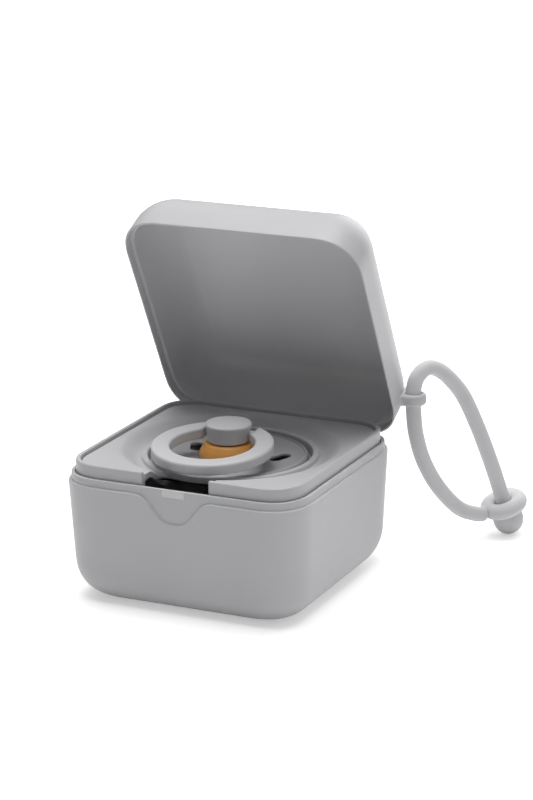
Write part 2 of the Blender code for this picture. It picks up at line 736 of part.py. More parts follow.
def teat_profile():
    """Hollow latex teat: bore for the stem, collar over the shield, neck through it, bulb below."""
    top = BASE_HEIGHT + TEAT_COLLAR_RISE
    sit = BASE_HEIGHT + SHIELD_CENTRE_RISE + GAP
    tip = BASE_HEIGHT - TEAT_LENGTH
    collar_shares = ((0.79, 1), (0.82, 0.88), (0.89, 0.72), (0.965, 0.50), (1, 0.25), (0.99, 0.09), (0.955, 0))
    neck_shares = ((0.65, 0.13), (0.64, 0.28), (0.74, 0.48))
    bulb_shares = ((0.93, 0.68), (1, 0.80), (0.92, 0.91), (0.58, 0.98))
    drop = sit - tip
    bore = STEM_RADIUS + GAP
    profile = [(0, tip + TEAT_WALL)]
    for across, down in reversed(neck_shares[2:] + bulb_shares[:-1]):
        inward = min(down / bulb_shares[1][1], 1)
        lift = TEAT_WALL * (down > bulb_shares[1][1])
        profile.append((TEAT_BULB_RADIUS * across - TEAT_WALL * inward, sit - drop * down + lift))
    profile.append((bore, sit - drop * neck_shares[0][1]))
    profile.append((bore, top))
    for across, up in collar_shares:
        profile.append((TEAT_COLLAR_RADIUS * across, sit + (top - sit) * up))
    profile.append((TEAT_NECK_RADIUS, sit))
    for across, down in neck_shares + bulb_shares:
        profile.append((TEAT_BULB_RADIUS * across, sit - drop * down))
    profile.append((0, tip))
    return profile


def make_teat():
    """Turned teat, hung through the shield's hole."""
    teat = add_mesh("pacifier_teat", turned(teat_profile(), 28), smooth_deg=60)
    finish(teat, (0.58, 0.24, 0.03), 0.25)
    return teat


def make_knob():
    """Knob with a stem down into the teat and a cross hole for the ring's bar."""
    top = KNOB_FOOT + KNOB_HEIGHT
    shoulder = (KNOB_TOP_RADIUS - KNOB_ROUND, top - KNOB_ROUND)
    profile = [(0, top + KNOB_DOME)]
    profile.extend(reversed(arc(KNOB_ROUND, 0, 90, 4, shoulder)))
    profile.extend((
        (KNOB_FOOT_RADIUS, KNOB_FOOT + EDGE),
        (KNOB_FOOT_RADIUS - EDGE, KNOB_FOOT),
        (STEM_RADIUS, KNOB_FOOT),
        (STEM_RADIUS, KNOB_FOOT - STEM_LENGTH + EDGE),
        (STEM_RADIUS - EDGE, KNOB_FOOT - STEM_LENGTH),
        (0, KNOB_FOOT - STEM_LENGTH),
    ))
    knob = add_mesh("pacifier_knob", turned(profile, 32))
    hole = rod_x(RING_BAR_RADIUS + GAP, KNOB_TOP_RADIUS + OVERRUN, PIVOT.y, PIVOT.z)
    combine(knob, add_mesh("bar_hole", hole))
    finish(knob, (0.80, 0.80, 0.81), 0.35)
    return knob


def ring_loops(steps=36):
    """Rounded-rectangle sections round the whole band, about a centre in front of the pivot."""
    middle = (RING_OUTER_RADIUS + RING_INNER_RADIUS) / 2
    flat = (RING_OUTER_RADIUS - RING_INNER_RADIUS) / 2 - RING_ROUND
    tall = RING_THICKNESS / 2 - RING_ROUND
    section = []
    for across, up, start_deg in ((flat, tall, 0), (-flat, tall, 90), (-flat, -tall, 180), (flat, -tall, 270)):
        section.extend(arc(RING_ROUND, start_deg, start_deg + 90, 3, (across, up)))
    loops = []
    for step in range(steps):
        angle = 2 * math.pi * step / steps
        outward = Vector((math.cos(angle), math.sin(angle), 0))
        centre = PIVOT - Vector((0, RING_REACH, 0))
        loops.append([centre + outward * (middle + across) + Vector((0, 0, up)) for across, up in section])
    return loops


def ring_tilt():
    """Angle at which the ring's far side comes to rest over the dish."""
    far = RING_REACH + RING_OUTER_RADIUS
    drop = PIVOT.z - RING_THICKNESS / 2 - RING_REST - dish_height(far - PIVOT.y)
    return math.asin(drop / far)


def make_ring():
    """Flat pull ring, open where the knob sits, with a round bar across the opening."""
    pivot = add_pivot("ring_axis", PIVOT)
    ring = add_mesh("pacifier_ring", loft(ring_loops(), closed=True), pivot)
    half = RING_MOUTH / 2
    low = (-half, PIVOT.y - RING_REACH, PIVOT.z - OVERRUN)
    high = (half, PIVOT.y + RING_OUTER_RADIUS, PIVOT.z + OVERRUN)
    combine(ring, add_mesh("ring_mouth", box(low, high), pivot))
    bar = rod_x(RING_BAR_RADIUS, half + RING_THICKNESS / 2, PIVOT.y, PIVOT.z)
    combine(ring, add_mesh("ring_bar", bar, pivot), "UNION")
    pivot.rotation_euler = (ring_tilt(), 0, 0)
    finish(ring, (0.80, 0.80, 0.81), 0.35)
    return ring


def strap_route():
    """The cord's middle line in its own upright plane: along from the lug, and height."""
    shares = (
        (0.4420, 0.1378), (0.3966, 0.1431), (0.2964, 0.1869), (0.2021, 0.2772),
        (0.1190, 0.3901), (0.0523, 0.5235), (0.0140, 0.6609), (0.0014, 0.7770),
        (0.0000, 0.8427), (0.0011, 0.8957), (0.0234, 0.9591), (0.0884, 1.0000),
        (0.1818, 0.9594), (0.2958, 0.8310), (0.3874, 0.6516), (0.4680, 0.4581),
        (0.5320, 0.2850), (0.5711, 0.1603),
    )
    return [(along * STRAP_HEIGHT, up * STRAP_HEIGHT) for along, up in shares]


def smooth_path(route, spacing):
    """Points an even spacing apart on a smooth curve through the route's points."""
    route = [Vector((along, 0, height)) for along, height in route]
    padded = [2 * route[0] - route[1]] + route + [2 * route[-1] - route[-2]]
    dense = []
    for before, start, end, after in zip(padded, padded[1:], padded[2:], padded[3:]):
        for step in range(12):
            share = step / 12
            bend = 2 * before - 5 * start + 4 * end - after
            twist = 3 * start - before - 3 * end + after
            dense.append((2 * start + (end - before) * share + bend * share ** 2 + twist * share ** 3) / 2)
    dense.append(route[-1])
    lengths = [0]
    for start, end in zip(dense, dense[1:]):
        lengths.append(lengths[-1] + (end - start).length)
    count = round(lengths[-1] / spacing)
    points = []
    index = 0
    for number in range(count + 1):
        wanted = lengths[-1] * number / count
        while index < len(dense) - 2 and lengths[index + 1] < wanted:
            index += 1
        share = (wanted - lengths[index]) / (lengths[index + 1] - lengths[index])
        points.append(dense[index].lerp(dense[index + 1], share))
    return points


def make_cord(pivot):
    """The strap's round cord, from the eye through the lug and back through the eye to the ball."""
    line = bpy.data.curves.new("strap_cord", "CURVE")
    line.dimensions = "3D"
    line.bevel_depth = CORD_RADIUS
    line.bevel_resolution = 3
    line.use_fill_caps = True
    points = smooth_path(strap_route(), CORD_STEP)
    spline = line.splines.new("POLY")
    spline.points.add(len(points) - 1)
    for knot, point in zip(spline.points, points):
        knot.co = (point.x, 0, point.z - pivot.location.z, 1)
    spline.use_smooth = True
    cord = bpy.data.objects.new("strap_cord", line)
    cord.parent = pivot
    bpy.context.scene.collection.objects.link(cord)
    finish(cord, (0.78, 0.78, 0.79), 0.55)


def make_eye(pivot, lean):
    """Round eye at the strap's end, square to the strand that passes it."""
    bm = turned(arc(EYE_TUBE, 0, 330, 11, (EYE_RADIUS, 0)), 24, closed=True)
    place = Matrix.Translation((EYE_ALONG, 0, EYE_ABOVE - pivot.location.z))
    bm.transform(place @ Matrix.Rotation(lean, 4, "Y"))
    eye = add_mesh("strap_eye", bm)
    eye.parent = pivot
    finish(eye, (0.78, 0.78, 0.79), 0.55)


def make_ball(pivot):
    """Ball at the strap's other end, which rests on what the box stands on."""
    bm = bmesh.new()
    bmesh.ops.create_uvsphere(bm, u_segments=24, v_segments=14, radius=BALL_RADIUS)
    bm.transform(Matrix.Translation((BALL_ALONG, 0, BALL_RADIUS - pivot.location.z)))
    ball = add_mesh("strap_ball", bm)
    ball.parent = pivot
    finish(ball, (0.78, 0.78, 0.79), 0.55)


def make_strap():
    """Strap about the lug's upright bore: cord, eye and ball in one upright plane."""
    pivot = add_pivot("strap_axis", opened_with_lid(lug_place()))
    lean = -math.atan2(BALL_ALONG - EYE_ALONG, EYE_ABOVE - BALL_RADIUS)
    make_cord(pivot)
    make_eye(pivot, lean)
    make_ball(pivot)
    pivot.rotation_euler = (0, 0, math.radians(STRAP_TURN_DEG))


fresh_scene()
make_base()
make_lid()
make_tray()
make_shield()
make_teat()
make_knob()
make_ring()
make_strap()
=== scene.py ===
import math

import bmesh
import bpy
from mathutils import Matrix, Vector


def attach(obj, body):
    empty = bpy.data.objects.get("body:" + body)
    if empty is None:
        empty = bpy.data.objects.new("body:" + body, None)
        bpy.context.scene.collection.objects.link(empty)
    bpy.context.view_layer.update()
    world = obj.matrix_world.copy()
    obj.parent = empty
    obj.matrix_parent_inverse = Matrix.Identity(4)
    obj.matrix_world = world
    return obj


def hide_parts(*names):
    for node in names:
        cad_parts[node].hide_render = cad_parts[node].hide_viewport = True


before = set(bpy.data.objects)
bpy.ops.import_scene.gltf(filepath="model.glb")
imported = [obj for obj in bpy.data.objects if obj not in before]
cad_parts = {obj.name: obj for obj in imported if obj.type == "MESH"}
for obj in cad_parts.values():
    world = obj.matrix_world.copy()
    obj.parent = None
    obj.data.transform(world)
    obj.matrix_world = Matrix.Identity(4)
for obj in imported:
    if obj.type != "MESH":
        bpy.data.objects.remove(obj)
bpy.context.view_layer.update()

# Camera
# It stands to the right of the front and a little above the box, far off with a long lens, so the
# box's edges stay almost parallel.
VIEW_TARGET = Vector((0, 0, 0.03962))
VIEW_AZIMUTH = math.radians(25.352)
VIEW_ELEVATION = math.radians(17.56)
VIEW_ROLL = math.radians(-0.653)
VIEW_DISTANCE = 0.80093
VIEW_RIGHT = 0.010826
VIEW_UP = -0.000327
FOCAL_PIXELS = 2776.4
CENTRE_PIXEL = (267.91, 448.05)
IMAGE_PIXELS = (533, 800)

view_back = Vector((
    math.sin(VIEW_AZIMUTH) * math.cos(VIEW_ELEVATION),
    -math.cos(VIEW_AZIMUTH) * math.cos(VIEW_ELEVATION),
    math.sin(VIEW_ELEVATION),
))
level_right = Vector((math.cos(VIEW_AZIMUTH), math.sin(VIEW_AZIMUTH), 0))
level_up = view_back.cross(level_right)
view_right = math.cos(VIEW_ROLL) * level_right + math.sin(VIEW_ROLL) * level_up
view_up = math.cos(VIEW_ROLL) * level_up - math.sin(VIEW_ROLL) * level_right

camera_data = bpy.data.cameras.new("camera")
camera_data.sensor_width = 36
camera_data.lens = FOCAL_PIXELS * camera_data.sensor_width / IMAGE_PIXELS[1]
camera_data.shift_x = (IMAGE_PIXELS[0] / 2 - CENTRE_PIXEL[0]) / IMAGE_PIXELS[1]
camera_data.shift_y = (CENTRE_PIXEL[1] - IMAGE_PIXELS[1] / 2) / IMAGE_PIXELS[1]
camera = bpy.data.objects.new("camera", camera_data)
bpy.context.scene.collection.objects.link(camera)
camera.matrix_world = Matrix((view_right, view_up, view_back)).transposed().to_4x4()
camera.matrix_world.translation = (
    VIEW_TARGET + view_back * VIEW_DISTANCE + level_right * VIEW_RIGHT + level_up * VIEW_UP
)
bpy.context.scene.camera = camera
bpy.context.scene.view_settings.view_transform = "Standard"

# Strap cord
# A limp round silicone cord. It leaves the eye, climbs to the lid's lug, passes up through it, bends
# over and comes down again through the eye to the ball.
CORD_RADIUS = 0.0023
CORD_STEPS = 8
STRAP_TURN = math.radians(53.0)
STRAP_AXIS = Vector((0.0401, 0.0411, 0))
# Distance out from the lug's bore, and height above the ground.
CORD_ROUTE = (
    (0.02495, 0.00778), (0.02239, 0.00808), (0.01673, 0.01055), (0.01141, 0.01565),
    (0.00672, 0.02202), (0.00295, 0.02955), (0.00079, 0.03731), (0.00008, 0.04386),
    (0.00000, 0.04757), (0.00006, 0.05056), (0.00132, 0.05414), (0.00499, 0.05645),
    (0.01026, 0.05416), (0.01670, 0.04691), (0.02187, 0.03678), (0.02642, 0.02586),
    (0.03003, 0.01609), (0.03224, 0.00905),
)


def node(tree, kind, **settings):
    """Add a shader node and set its plain properties."""
    made = tree.nodes.new(kind)
    for name, value in settings.items():
        setattr(made, name, value)
    return made


def noise(tree, scale, detail, roughness=0.5):
    """Noise in the piece's own metres."""
    place = node(tree, "ShaderNodeTexCoord")
    made = node(tree, "ShaderNodeTexNoise")
    made.inputs["Scale"].default_value = scale
    made.inputs["Detail"].default_value = detail
    made.inputs["Roughness"].default_value = roughness
    tree.links.new(place.outputs["Object"], made.inputs["Vector"])
    return made.outputs["Fac"]


def spread(tree, source, low, high, low_from=0.3, high_from=0.7):
    """Map a value's range, or a noise's middle range, onto the wanted range."""
    made = node(tree, "ShaderNodeMapRange")
    made.inputs["From Min"].default_value = low_from
    made.inputs["From Max"].default_value = high_from
    made.inputs["To Min"].default_value = low
    made.inputs["To Max"].default_value = high
    tree.links.new(source, made.inputs["Value"])
    return made.outputs["Result"]


def blend_colour(tree, factor, first, second):
    """Mix two colours by a factor."""
    made = node(tree, "ShaderNodeMix", data_type="RGBA")
    made.inputs["A"].default_value = (*first, 1)
    made.inputs["B"].default_value = (*second, 1)
    tree.links.new(factor, made.inputs["Factor"])
    return made.outputs["Result"]


def bump(tree, heights):
    """Stack bumps of (height, distance) one on the other."""
    normal = None
    for height, distance in heights:
        made = node(tree, "ShaderNodeBump")
        made.inputs["Distance"].default_value = distance
        tree.links.new(height, made.inputs["Height"])
        if normal:
            tree.links.new(normal, made.inputs["Normal"])
        normal = made.outputs["Normal"]
    return normal


def new_material(name):
    """Empty node material: its tree and its shader."""
    made = bpy.data.materials.new(name)
    made.use_nodes = True
    return made, made.node_tree, made.node_tree.nodes["Principled BSDF"]


def make_silicone():
    """Matt silicone: soft bloom, faint dust and a skin that the mould left almost smooth."""
    made, tree, shader = new_material("matt_silicone")
    cloud = noise(tree, 140, 3)
    grain = noise(tree, 3200, 2)
    tint = blend_colour(tree, spread(tree, cloud, 0, 1), (0.710, 0.710, 0.727), (0.750, 0.750, 0.764))
    tree.links.new(tint, shader.inputs["Base Color"])
    tree.links.new(spread(tree, cloud, 0.50, 0.62), shader.inputs["Roughness"])
    tree.links.new(bump(tree, ((cloud, 0.00010), (grain, 0.000012))), shader.inputs["Normal"])
    shader.inputs["Subsurface Weight"].default_value = 0.15
    shader.inputs["Subsurface Radius"].default_value = (0.0016, 0.0015, 0.0014)
    shader.inputs["Subsurface Scale"].default_value = 1
    shader.inputs["Specular IOR Level"].default_value = 0.2
    return made


def smooth_route(route, parts):
    """Points on a smooth curve through a route of (along, height), in an upright plane."""
    line = [Vector((along, 0, height)) for along, height in route]
    line = [2 * line[0] - line[1]] + line + [2 * line[-1] - line[-2]]
    points = []
    for before, start, end, after in zip(line, line[1:], line[2:], line[3:]):
        for part in range(parts):
            share = part / parts
            bend = 2 * before - 5 * start + 4 * end - after
            twist = 3 * start - before - 3 * end + after
            curve = 2 * start + (end - before) * share + bend * share ** 2 + twist * share ** 3
            points.append(curve / 2)
    points.append(line[-2])
    return points


silicone = make_silicone()
strap_place = Matrix.Translation(STRAP_AXIS) @ Matrix.Rotation(STRAP_TURN, 4, "Z")
cord_points = [strap_place @ point for point in smooth_route(CORD_ROUTE, CORD_STEPS)]
cord_line = bpy.data.curves.new("strap_cord_skin", "CURVE")
cord_line.dimensions = "3D"
cord_line.bevel_depth = CORD_RADIUS
cord_line.bevel_resolution = 10
cord_line.use_fill_caps = True
cord_spline = cord_line.splines.new("POLY")
cord_spline.points.add(len(cord_points) - 1)
for knot, point in zip(cord_spline.points, cord_points):
    knot.co = (*point, 1)
cord_spline.use_smooth = True
cord_line.materials.append(silicone)
cord = bpy.data.objects.new("strap_cord_skin", cord_line)
bpy.context.scene.collection.objects.link(cord)
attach(cord, "strap")
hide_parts("strap_cord")

# Strap eye and ball
# Moulded in one with the cord: a thick round eye that the other strand passes through, and the ball
# on that strand's end, which keeps it from slipping back.
EYE_RADIUS = 0.0048
EYE_TUBE = 0.0024
EYE_SIDES = 24
EYE_PLACE = Vector((0.03205, 0, 0.00963))
BALL_RADIUS = 0.00465
BALL_PLACE = Vector((0.03377, 0, BALL_RADIUS))
SEAM = 0.000001


def arc(radius, start_deg, end_deg, steps, centre=(0, 0)):
    """Points along an arc, both ends included."""
    points = []
    for step in range(steps + 1):
        angle = math.radians(start_deg + (end_deg - start_deg) * step / steps)
        points.append((centre[0] + radius * math.cos(angle), centre[1] + radius * math.sin(angle)))
    return points


def spin_profile(bm, profile, steps, closed=False):
    """Revolve (radius, height) points about the upright axis."""
    verts = [bm.verts.new((radius, 0, height)) for radius, height in profile]
    edges = [bm.edges.new(pair) for pair in zip(verts, verts[1:])]
    if closed:
        edges.append(bm.edges.new((verts[-1], verts[0])))
    bmesh.ops.spin(
        bm, geom=verts + edges, cent=(0, 0, 0), axis=(0, 0, 1),
        angle=2 * math.pi, steps=steps, use_merge=True,
    )
    bmesh.ops.remove_doubles(bm, verts=bm.verts, dist=SEAM)


def make_piece(name, bm, material, body, stands_for=None, sharp_deg=35):
    """Finished piece from a bmesh that stands in its place, with the body that carries it."""
    bmesh.ops.recalc_face_normals(bm, faces=bm.faces)
    mesh = bpy.data.meshes.new(name)
    bm.to_mesh(mesh)
    bm.free()
    mesh.shade_smooth()
    mesh.set_sharp_from_angle(angle=math.radians(sharp_deg))
    mesh.materials.append(material)
    made = bpy.data.objects.new(name, mesh)
    bpy.context.scene.collection.objects.link(made)
    normals = made.modifiers.new("even_normals", "WEIGHTED_NORMAL")
    normals.keep_sharp = True
    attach(made, body)
    if stands_for:
        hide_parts(stands_for)
    return made


eye_bm = bmesh.new()
eye_section = arc(EYE_TUBE, 0, 360 - 360 / EYE_SIDES, EYE_SIDES - 1, (EYE_RADIUS, 0))
spin_profile(eye_bm, eye_section, 64, closed=True)
eye_lean = -math.atan2(BALL_PLACE.x - EYE_PLACE.x, EYE_PLACE.z - BALL_PLACE.z)
eye_bm.transform(strap_place @ Matrix.Translation(EYE_PLACE) @ Matrix.Rotation(eye_lean, 4, "Y"))
strap_eye = make_piece("strap_eye_skin", eye_bm, silicone, "strap", "strap_eye")

ball_bm = bmesh.new()
bmesh.ops.create_uvsphere(ball_bm, u_segments=48, v_segments=32, radius=BALL_RADIUS)
ball_bm.transform(strap_place @ Matrix.Translation(BALL_PLACE))
strap_ball = make_piece("strap_ball_skin", ball_bm, silicone, "strap", "strap_ball")

# Base shell
# The deep lower half, injection moulded in one shot of satin plastic. A thin lip inside its rim guides
# the lid, and a seat below carries the tray. A finger dip is scooped out of the front, and the back's
# rim is cut away where the lid's barrel turns.
HALF = 0.0375
CORNER = 0.01355
CORNER_PROFILE = 0.56
CORNER_STEPS = 16
BASE_HEIGHT = 0.03527
BASE_DRAFT = 0.0016
# Inward reach and height of the rounded foot.
BASE_ROUND = (0.0097, 0.0119)
FOOT_POWER = 2.28
FOOT_STEPS = 14
FOOT_CORNER = 0.91
LIP_OUTER = 0.03665
LIP_INNER = 0.03565
LIP_TOP = 0.03757
SEAT_HEIGHT = 0.02927
SEAT_INNER = 0.0341
INNER_TAPER = 0.0005
FLOOR_WALL = 0.0022
INNER_ROUND = (0.0082, 0.0097)
FLOOR_STEPS = 12
RIM_BAND = 0.001
EDGE_ROUND = 0.0003
FINE_ROUND = 0.00015
DIP_HALF = 0.0115
DIP_DEPTH = 0.0075
DIP_TOP = BASE_HEIGHT + 0.00003
DIP_BACK = -LIP_OUTER + 0.00002
DIP_CUT_TOP = DIP_TOP + 0.0016
DIP_CUT_DEPTH = 0.004
DIP_STEPS = 4
# Shares of the dip's half width and of its depth.
DIP_FALL = (
    (0, 1), (0.14, 0.985), (0.28, 0.92), (0.38, 0.805), (0.48, 0.65), (0.57, 0.485),
    (0.66, 0.32), (0.75, 0.175), (0.84, 0.08), (0.92, 0.03), (1, 0),
)
LEDGE_ROUND = 0.0005
LEDGE_LOW = BASE_HEIGHT - DIP_DEPTH - 0.0003
LEDGE_HIGH = BASE_HEIGHT + 0.00001
HINGE = Vector((0, 0.0381, 0.03527))
BARREL_RADIUS = 0.0016
BARREL_HALF = 0.0080
GAP = 0.0003
ROD_SIDES = 40
CUT_SEAM = 0.000002
CUT_TURN = 0.3


def make_plastic(name, dark, light, rough_low, rough_high):
    """Satin moulded plastic: fine spark-eroded grain, slight flow marks and uneven sheen."""
    made, tree, shader = new_material(name)
    cloud = noise(tree, 38, 4)
    fleck = noise(tree, 700, 3)
    grain = noise(tree, 4200, 2)
    tint = blend_colour(tree, spread(tree, cloud, 0, 1), dark, light)
    tree.links.new(tint, shader.inputs["Base Color"])
    tree.links.new(spread(tree, fleck, rough_low, rough_high), shader.inputs["Roughness"])
    normal = bump(tree, ((cloud, 0.00006), (fleck, 0.000006), (grain, 0.000008)))
    tree.links.new(normal, shader.inputs["Normal"])
    shader.inputs["Specular IOR Level"].default_value = 0.45
    return made


def rounded_profile(points, steps=4):
    """Round the corners of a profile of (across, height, radius); radius 0 keeps a point as it is."""
    made = []
    for index, (across, height, radius) in enumerate(points):
        here = Vector((across, height))
        if not radius:
            made.append(here)
            continue
        back = (Vector(points[index - 1][:2]) - here).normalized()
        ahead = (Vector(points[(index + 1) % len(points)][:2]) - here).normalized()
        reach = radius / math.tan(back.angle(ahead) / 2)
        for step in range(steps + 1):
            share = step / steps
            first = here + back * reach * (1 - share)
            second = here + ahead * reach * share
            made.append(first.lerp(second, share))
    return made


def quarter(steps, power):
    """Shares out and up from the wall round to the flat, along a superelliptic rounding."""
    turns = [math.pi / 2 * step / steps for step in range(steps)]
    return [(math.cos(turn) ** (2 / power), math.sin(turn) ** (2 / power)) for turn in turns] + [(0, 1)]


def rounded_square(bm, half, corner, height):
    """Square face with softened corners at a height."""
    made = bmesh.ops.create_grid(bm, x_segments=1, y_segments=1, size=half)
    bmesh.ops.bevel(
        bm, geom=made["verts"], offset=corner, segments=CORNER_STEPS, profile=CORNER_PROFILE,
        affect="VERTICES", material=-1,
    )
    bmesh.ops.translate(bm, verts=bm.verts, vec=(0, 0, height))
    return next(iter(bm.faces))


def reform(verts, old, new):
    """Move an outline's points to the next half width, corner size and height."""
    flat_old = old[0] - old[1]
    flat_new = new[0] - new[1]
    for vert in verts:
        for axis in (0, 1):
            size = abs(vert.co[axis])
            size = flat_new + (size - flat_old) * new[1] / old[1]
            vert.co[axis] = math.copysign(size, vert.co[axis])
        vert.co.z = new[2]


def extrude_sections(bm, sections):
    """Closed shell: the first section's face is extruded from section to section."""
    cap = rounded_square(bm, *sections[0])
    for old, new in zip(sections, sections[1:]):
        made = bmesh.ops.extrude_face_region(bm, geom=[cap])["geom"]
        # The first face stays, and closes the shell.
        if old != sections[0]:
            bmesh.ops.delete(bm, geom=[cap], context="FACES_ONLY")
        cap = next(item for item in made if isinstance(item, bmesh.types.BMFace))
        reform(cap.verts, old, new)


def inset_corner(half):
    """Corner size that keeps a wall as thick round the corner as along the side."""
    return CORNER - (HALF - half)


def scaled_corner(half, out=1, flat_share=1):
    """Corner size that shrinks with the outline, and further towards a rounded foot or crown."""
    return CORNER * half / HALF * (flat_share + (1 - flat_share) * out)


def base_wall(height):
    """Half width of the base's outer wall at a height."""
    return HALF - BASE_DRAFT * (BASE_HEIGHT - height) / BASE_HEIGHT


def base_sections():
    """Sections from the foot over the lip and down to the cavity's floor."""
    sections = []
    for out, rise in reversed(quarter(FOOT_STEPS, FOOT_POWER)):
        height = BASE_ROUND[1] * (1 - rise)
        half = base_wall(height) - BASE_ROUND[0] * (1 - out)
        sections.append((half, scaled_corner(half, out, FOOT_CORNER), height))
    rim = rounded_profile((
        (base_wall(BASE_HEIGHT - RIM_BAND), BASE_HEIGHT - RIM_BAND, 0),
        (HALF, BASE_HEIGHT, 0),
        (LIP_OUTER, BASE_HEIGHT, FINE_ROUND),
        (LIP_OUTER, LIP_TOP, EDGE_ROUND),
        (LIP_INNER, LIP_TOP, EDGE_ROUND),
        (LIP_INNER, SEAT_HEIGHT, 0),
    ))
    sections.extend((half, inset_corner(half), height) for half, height in rim)
    sections.append((SEAT_INNER, scaled_corner(SEAT_INNER), SEAT_HEIGHT))
    for out, rise in quarter(FLOOR_STEPS, FOOT_POWER):
        height = FLOOR_WALL + INNER_ROUND[1] * (1 - rise)
        inner = SEAT_INNER - INNER_TAPER * (SEAT_HEIGHT - height) / SEAT_HEIGHT
        half = inner - INNER_ROUND[0] * (1 - out)
        sections.append((half, scaled_corner(half, out, FOOT_CORNER), height))
    return sections


def sharp_edges(bm, least_turn):
    """Edges whose two faces turn by more than an angle in radians."""
    return [edge for edge in bm.edges if edge.calc_face_angle(0) > least_turn]


def soften(bm, edges, size, steps):
    """Round the given edges."""
    bmesh.ops.bevel(
        bm, geom=edges, offset=size, segments=steps, profile=0.5, affect="EDGES",
        clamp_overlap=False, material=-1,
    )


def carve(bm, tool, soft=0):
    """Cut a tool's bmesh out of a bmesh, and soften the edges that the cut leaves."""
    bmesh.ops.recalc_face_normals(bm, faces=bm.faces)
    bmesh.ops.recalc_face_normals(tool, faces=tool.faces)
    holders = []
    for index, source in enumerate((bm, tool)):
        for face in source.faces:
            face.material_index = index
        mesh = bpy.data.meshes.new("carving")
        source.to_mesh(mesh)
        mesh.materials.append(None)
        mesh.materials.append(None)
        holder = bpy.data.objects.new("carving", mesh)
        bpy.context.scene.collection.objects.link(holder)
        holders.append(holder)
    cut = holders[0].modifiers.new("cut", "BOOLEAN")
    cut.object = holders[1]
    cut.operation = "DIFFERENCE"
    cut.solver = "EXACT"
    cut.material_mode = "INDEX"
    result = holders[0].evaluated_get(bpy.context.evaluated_depsgraph_get()).to_mesh()
    bm.clear()
    bm.from_mesh(result)
    tool.free()
    for holder in holders:
        mesh = holder.data
        bpy.data.objects.remove(holder)
        bpy.data.meshes.remove(mesh)
    bmesh.ops.remove_doubles(bm, verts=bm.verts, dist=CUT_SEAM)
    bmesh.ops.dissolve_degenerate(bm, edges=bm.edges, dist=CUT_SEAM)
    border = [
        edge for edge in sharp_edges(bm, CUT_TURN)
        if len({face.material_index for face in edge.link_faces}) > 1
    ]
    if soft:
        soften(bm, border, soft, 3)
    for face in bm.faces:
        face.material_index = 0


def extrude_outline(outline, depth, place):
    """Solid from a flat outline of (x, y) points, extruded along Z and then placed."""
    bm = bmesh.new()
    face = bm.faces.new([bm.verts.new((x, y, 0)) for x, y in outline])
    made = bmesh.ops.extrude_face_region(bm, geom=[face])["geom"]
    verts = [item for item in made if isinstance(item, bmesh.types.BMVert)]
    bmesh.ops.translate(bm, verts=verts, vec=(0, 0, depth))
    bm.transform(place)
    return bm


def rod_x(radius, half_length, y, z):
    """Solid round bar along X."""
    bm = bmesh.new()
    bmesh.ops.create_cone(
        bm, cap_ends=True, segments=ROD_SIDES, radius1=radius, radius2=radius, depth=2 * half_length,
    )
    bm.transform(Matrix.Translation((0, y, z)) @ Matrix.Rotation(math.radians(90), 4, "Y"))
    return bm


dip_right = [(across * DIP_HALF, DIP_TOP - DIP_DEPTH * fall) for across, fall in DIP_FALL]
dip_right = [(point.x, point.z) for point in smooth_route(dip_right, DIP_STEPS)]
dip_outline = [(-x, z) for x, z in reversed(dip_right[1:])] + dip_right
dip_outline += [(DIP_HALF, DIP_CUT_TOP), (-DIP_HALF, DIP_CUT_TOP)]
dip_place = Matrix.Translation((0, DIP_BACK, 0)) @ Matrix.Rotation(math.radians(90), 4, "X")
dip_bm = extrude_outline(dip_outline, DIP_CUT_DEPTH, dip_place)

base_bm = bmesh.new()
extrude_sections(base_bm, base_sections())
carve(base_bm, dip_bm)
ledge_edges = [
    edge for edge in sharp_edges(base_bm, 1)
    if edge.is_convex and all(LEDGE_LOW < vert.co.z < LEDGE_HIGH for vert in edge.verts)
]
soften(base_bm, ledge_edges, LEDGE_ROUND, 5)
carve(base_bm, rod_x(BARREL_RADIUS + GAP, BARREL_HALF + GAP, HINGE.y, HINGE.z))
shell_plastic = make_plastic(
    "satin_shell_plastic", (0.600, 0.600, 0.618), (0.625, 0.625, 0.642), 0.36, 0.46,
)
make_piece("base_skin", base_bm, shell_plastic, "base", "base_shell")

# Catch nib
# A small sloped nib moulded on the lip's front, which the lid's rim snaps over. Its plastic is
# glossier than the shell and painted paler, a painted highlight for the light its sloped face catches.
CATCH_HALF = 0.0033
CATCH_PROUD = 0.00022
CATCH_LOW = 0.03547
CATCH_FACE = 0.0002
CATCH_LEAD = 0.00005
CATCH_ROOT = -LIP_OUTER + 0.0004
CATCH_TOP = LIP_TOP - 0.00025
CATCH_ROUND = 0.00008
across_x = Matrix(((0, 0, 1), (1, 0, 0), (0, 1, 0))).to_4x4()

catch_outline = (
    (CATCH_ROOT, CATCH_LOW), (-LIP_OUTER - CATCH_PROUD, CATCH_LOW),
    (-LIP_OUTER - CATCH_PROUD, CATCH_LOW + CATCH_FACE), (-LIP_OUTER - CATCH_LEAD, CATCH_TOP),
    (CATCH_ROOT, CATCH_TOP),
)
catch_place = Matrix.Translation((-CATCH_HALF, 0, 0)) @ across_x
catch_bm = extrude_outline(catch_outline, 2 * CATCH_HALF, catch_place)
soften(catch_bm, catch_bm.edges[:], CATCH_ROUND, 2)
# Paler than the shell: a painted highlight for the light that the nib's sloped face catches.
nib_painted_highlight_plastic = make_plastic(
    "painted_highlight_shell_plastic", (0.780, 0.780, 0.795), (0.800, 0.800, 0.815), 0.28, 0.36,
)
make_piece("catch_nib", catch_bm, nib_painted_highlight_plastic, "base")

# Base knuckles
# Two half-round knuckles moulded on the back, with gussets that run down into the wall. Each has a
# blind hole that a peg on the lid's barrel snaps into.
KNUCKLE_OUT = 0.0130
KNUCKLE_ROUND = 0.00012
GUSSET_DROP = 0.0082
GUSSET_SINK = 0.0004
PEG_RADIUS = 0.0009
PEG_END = 0.0115
HINGE_TURN = 0.6

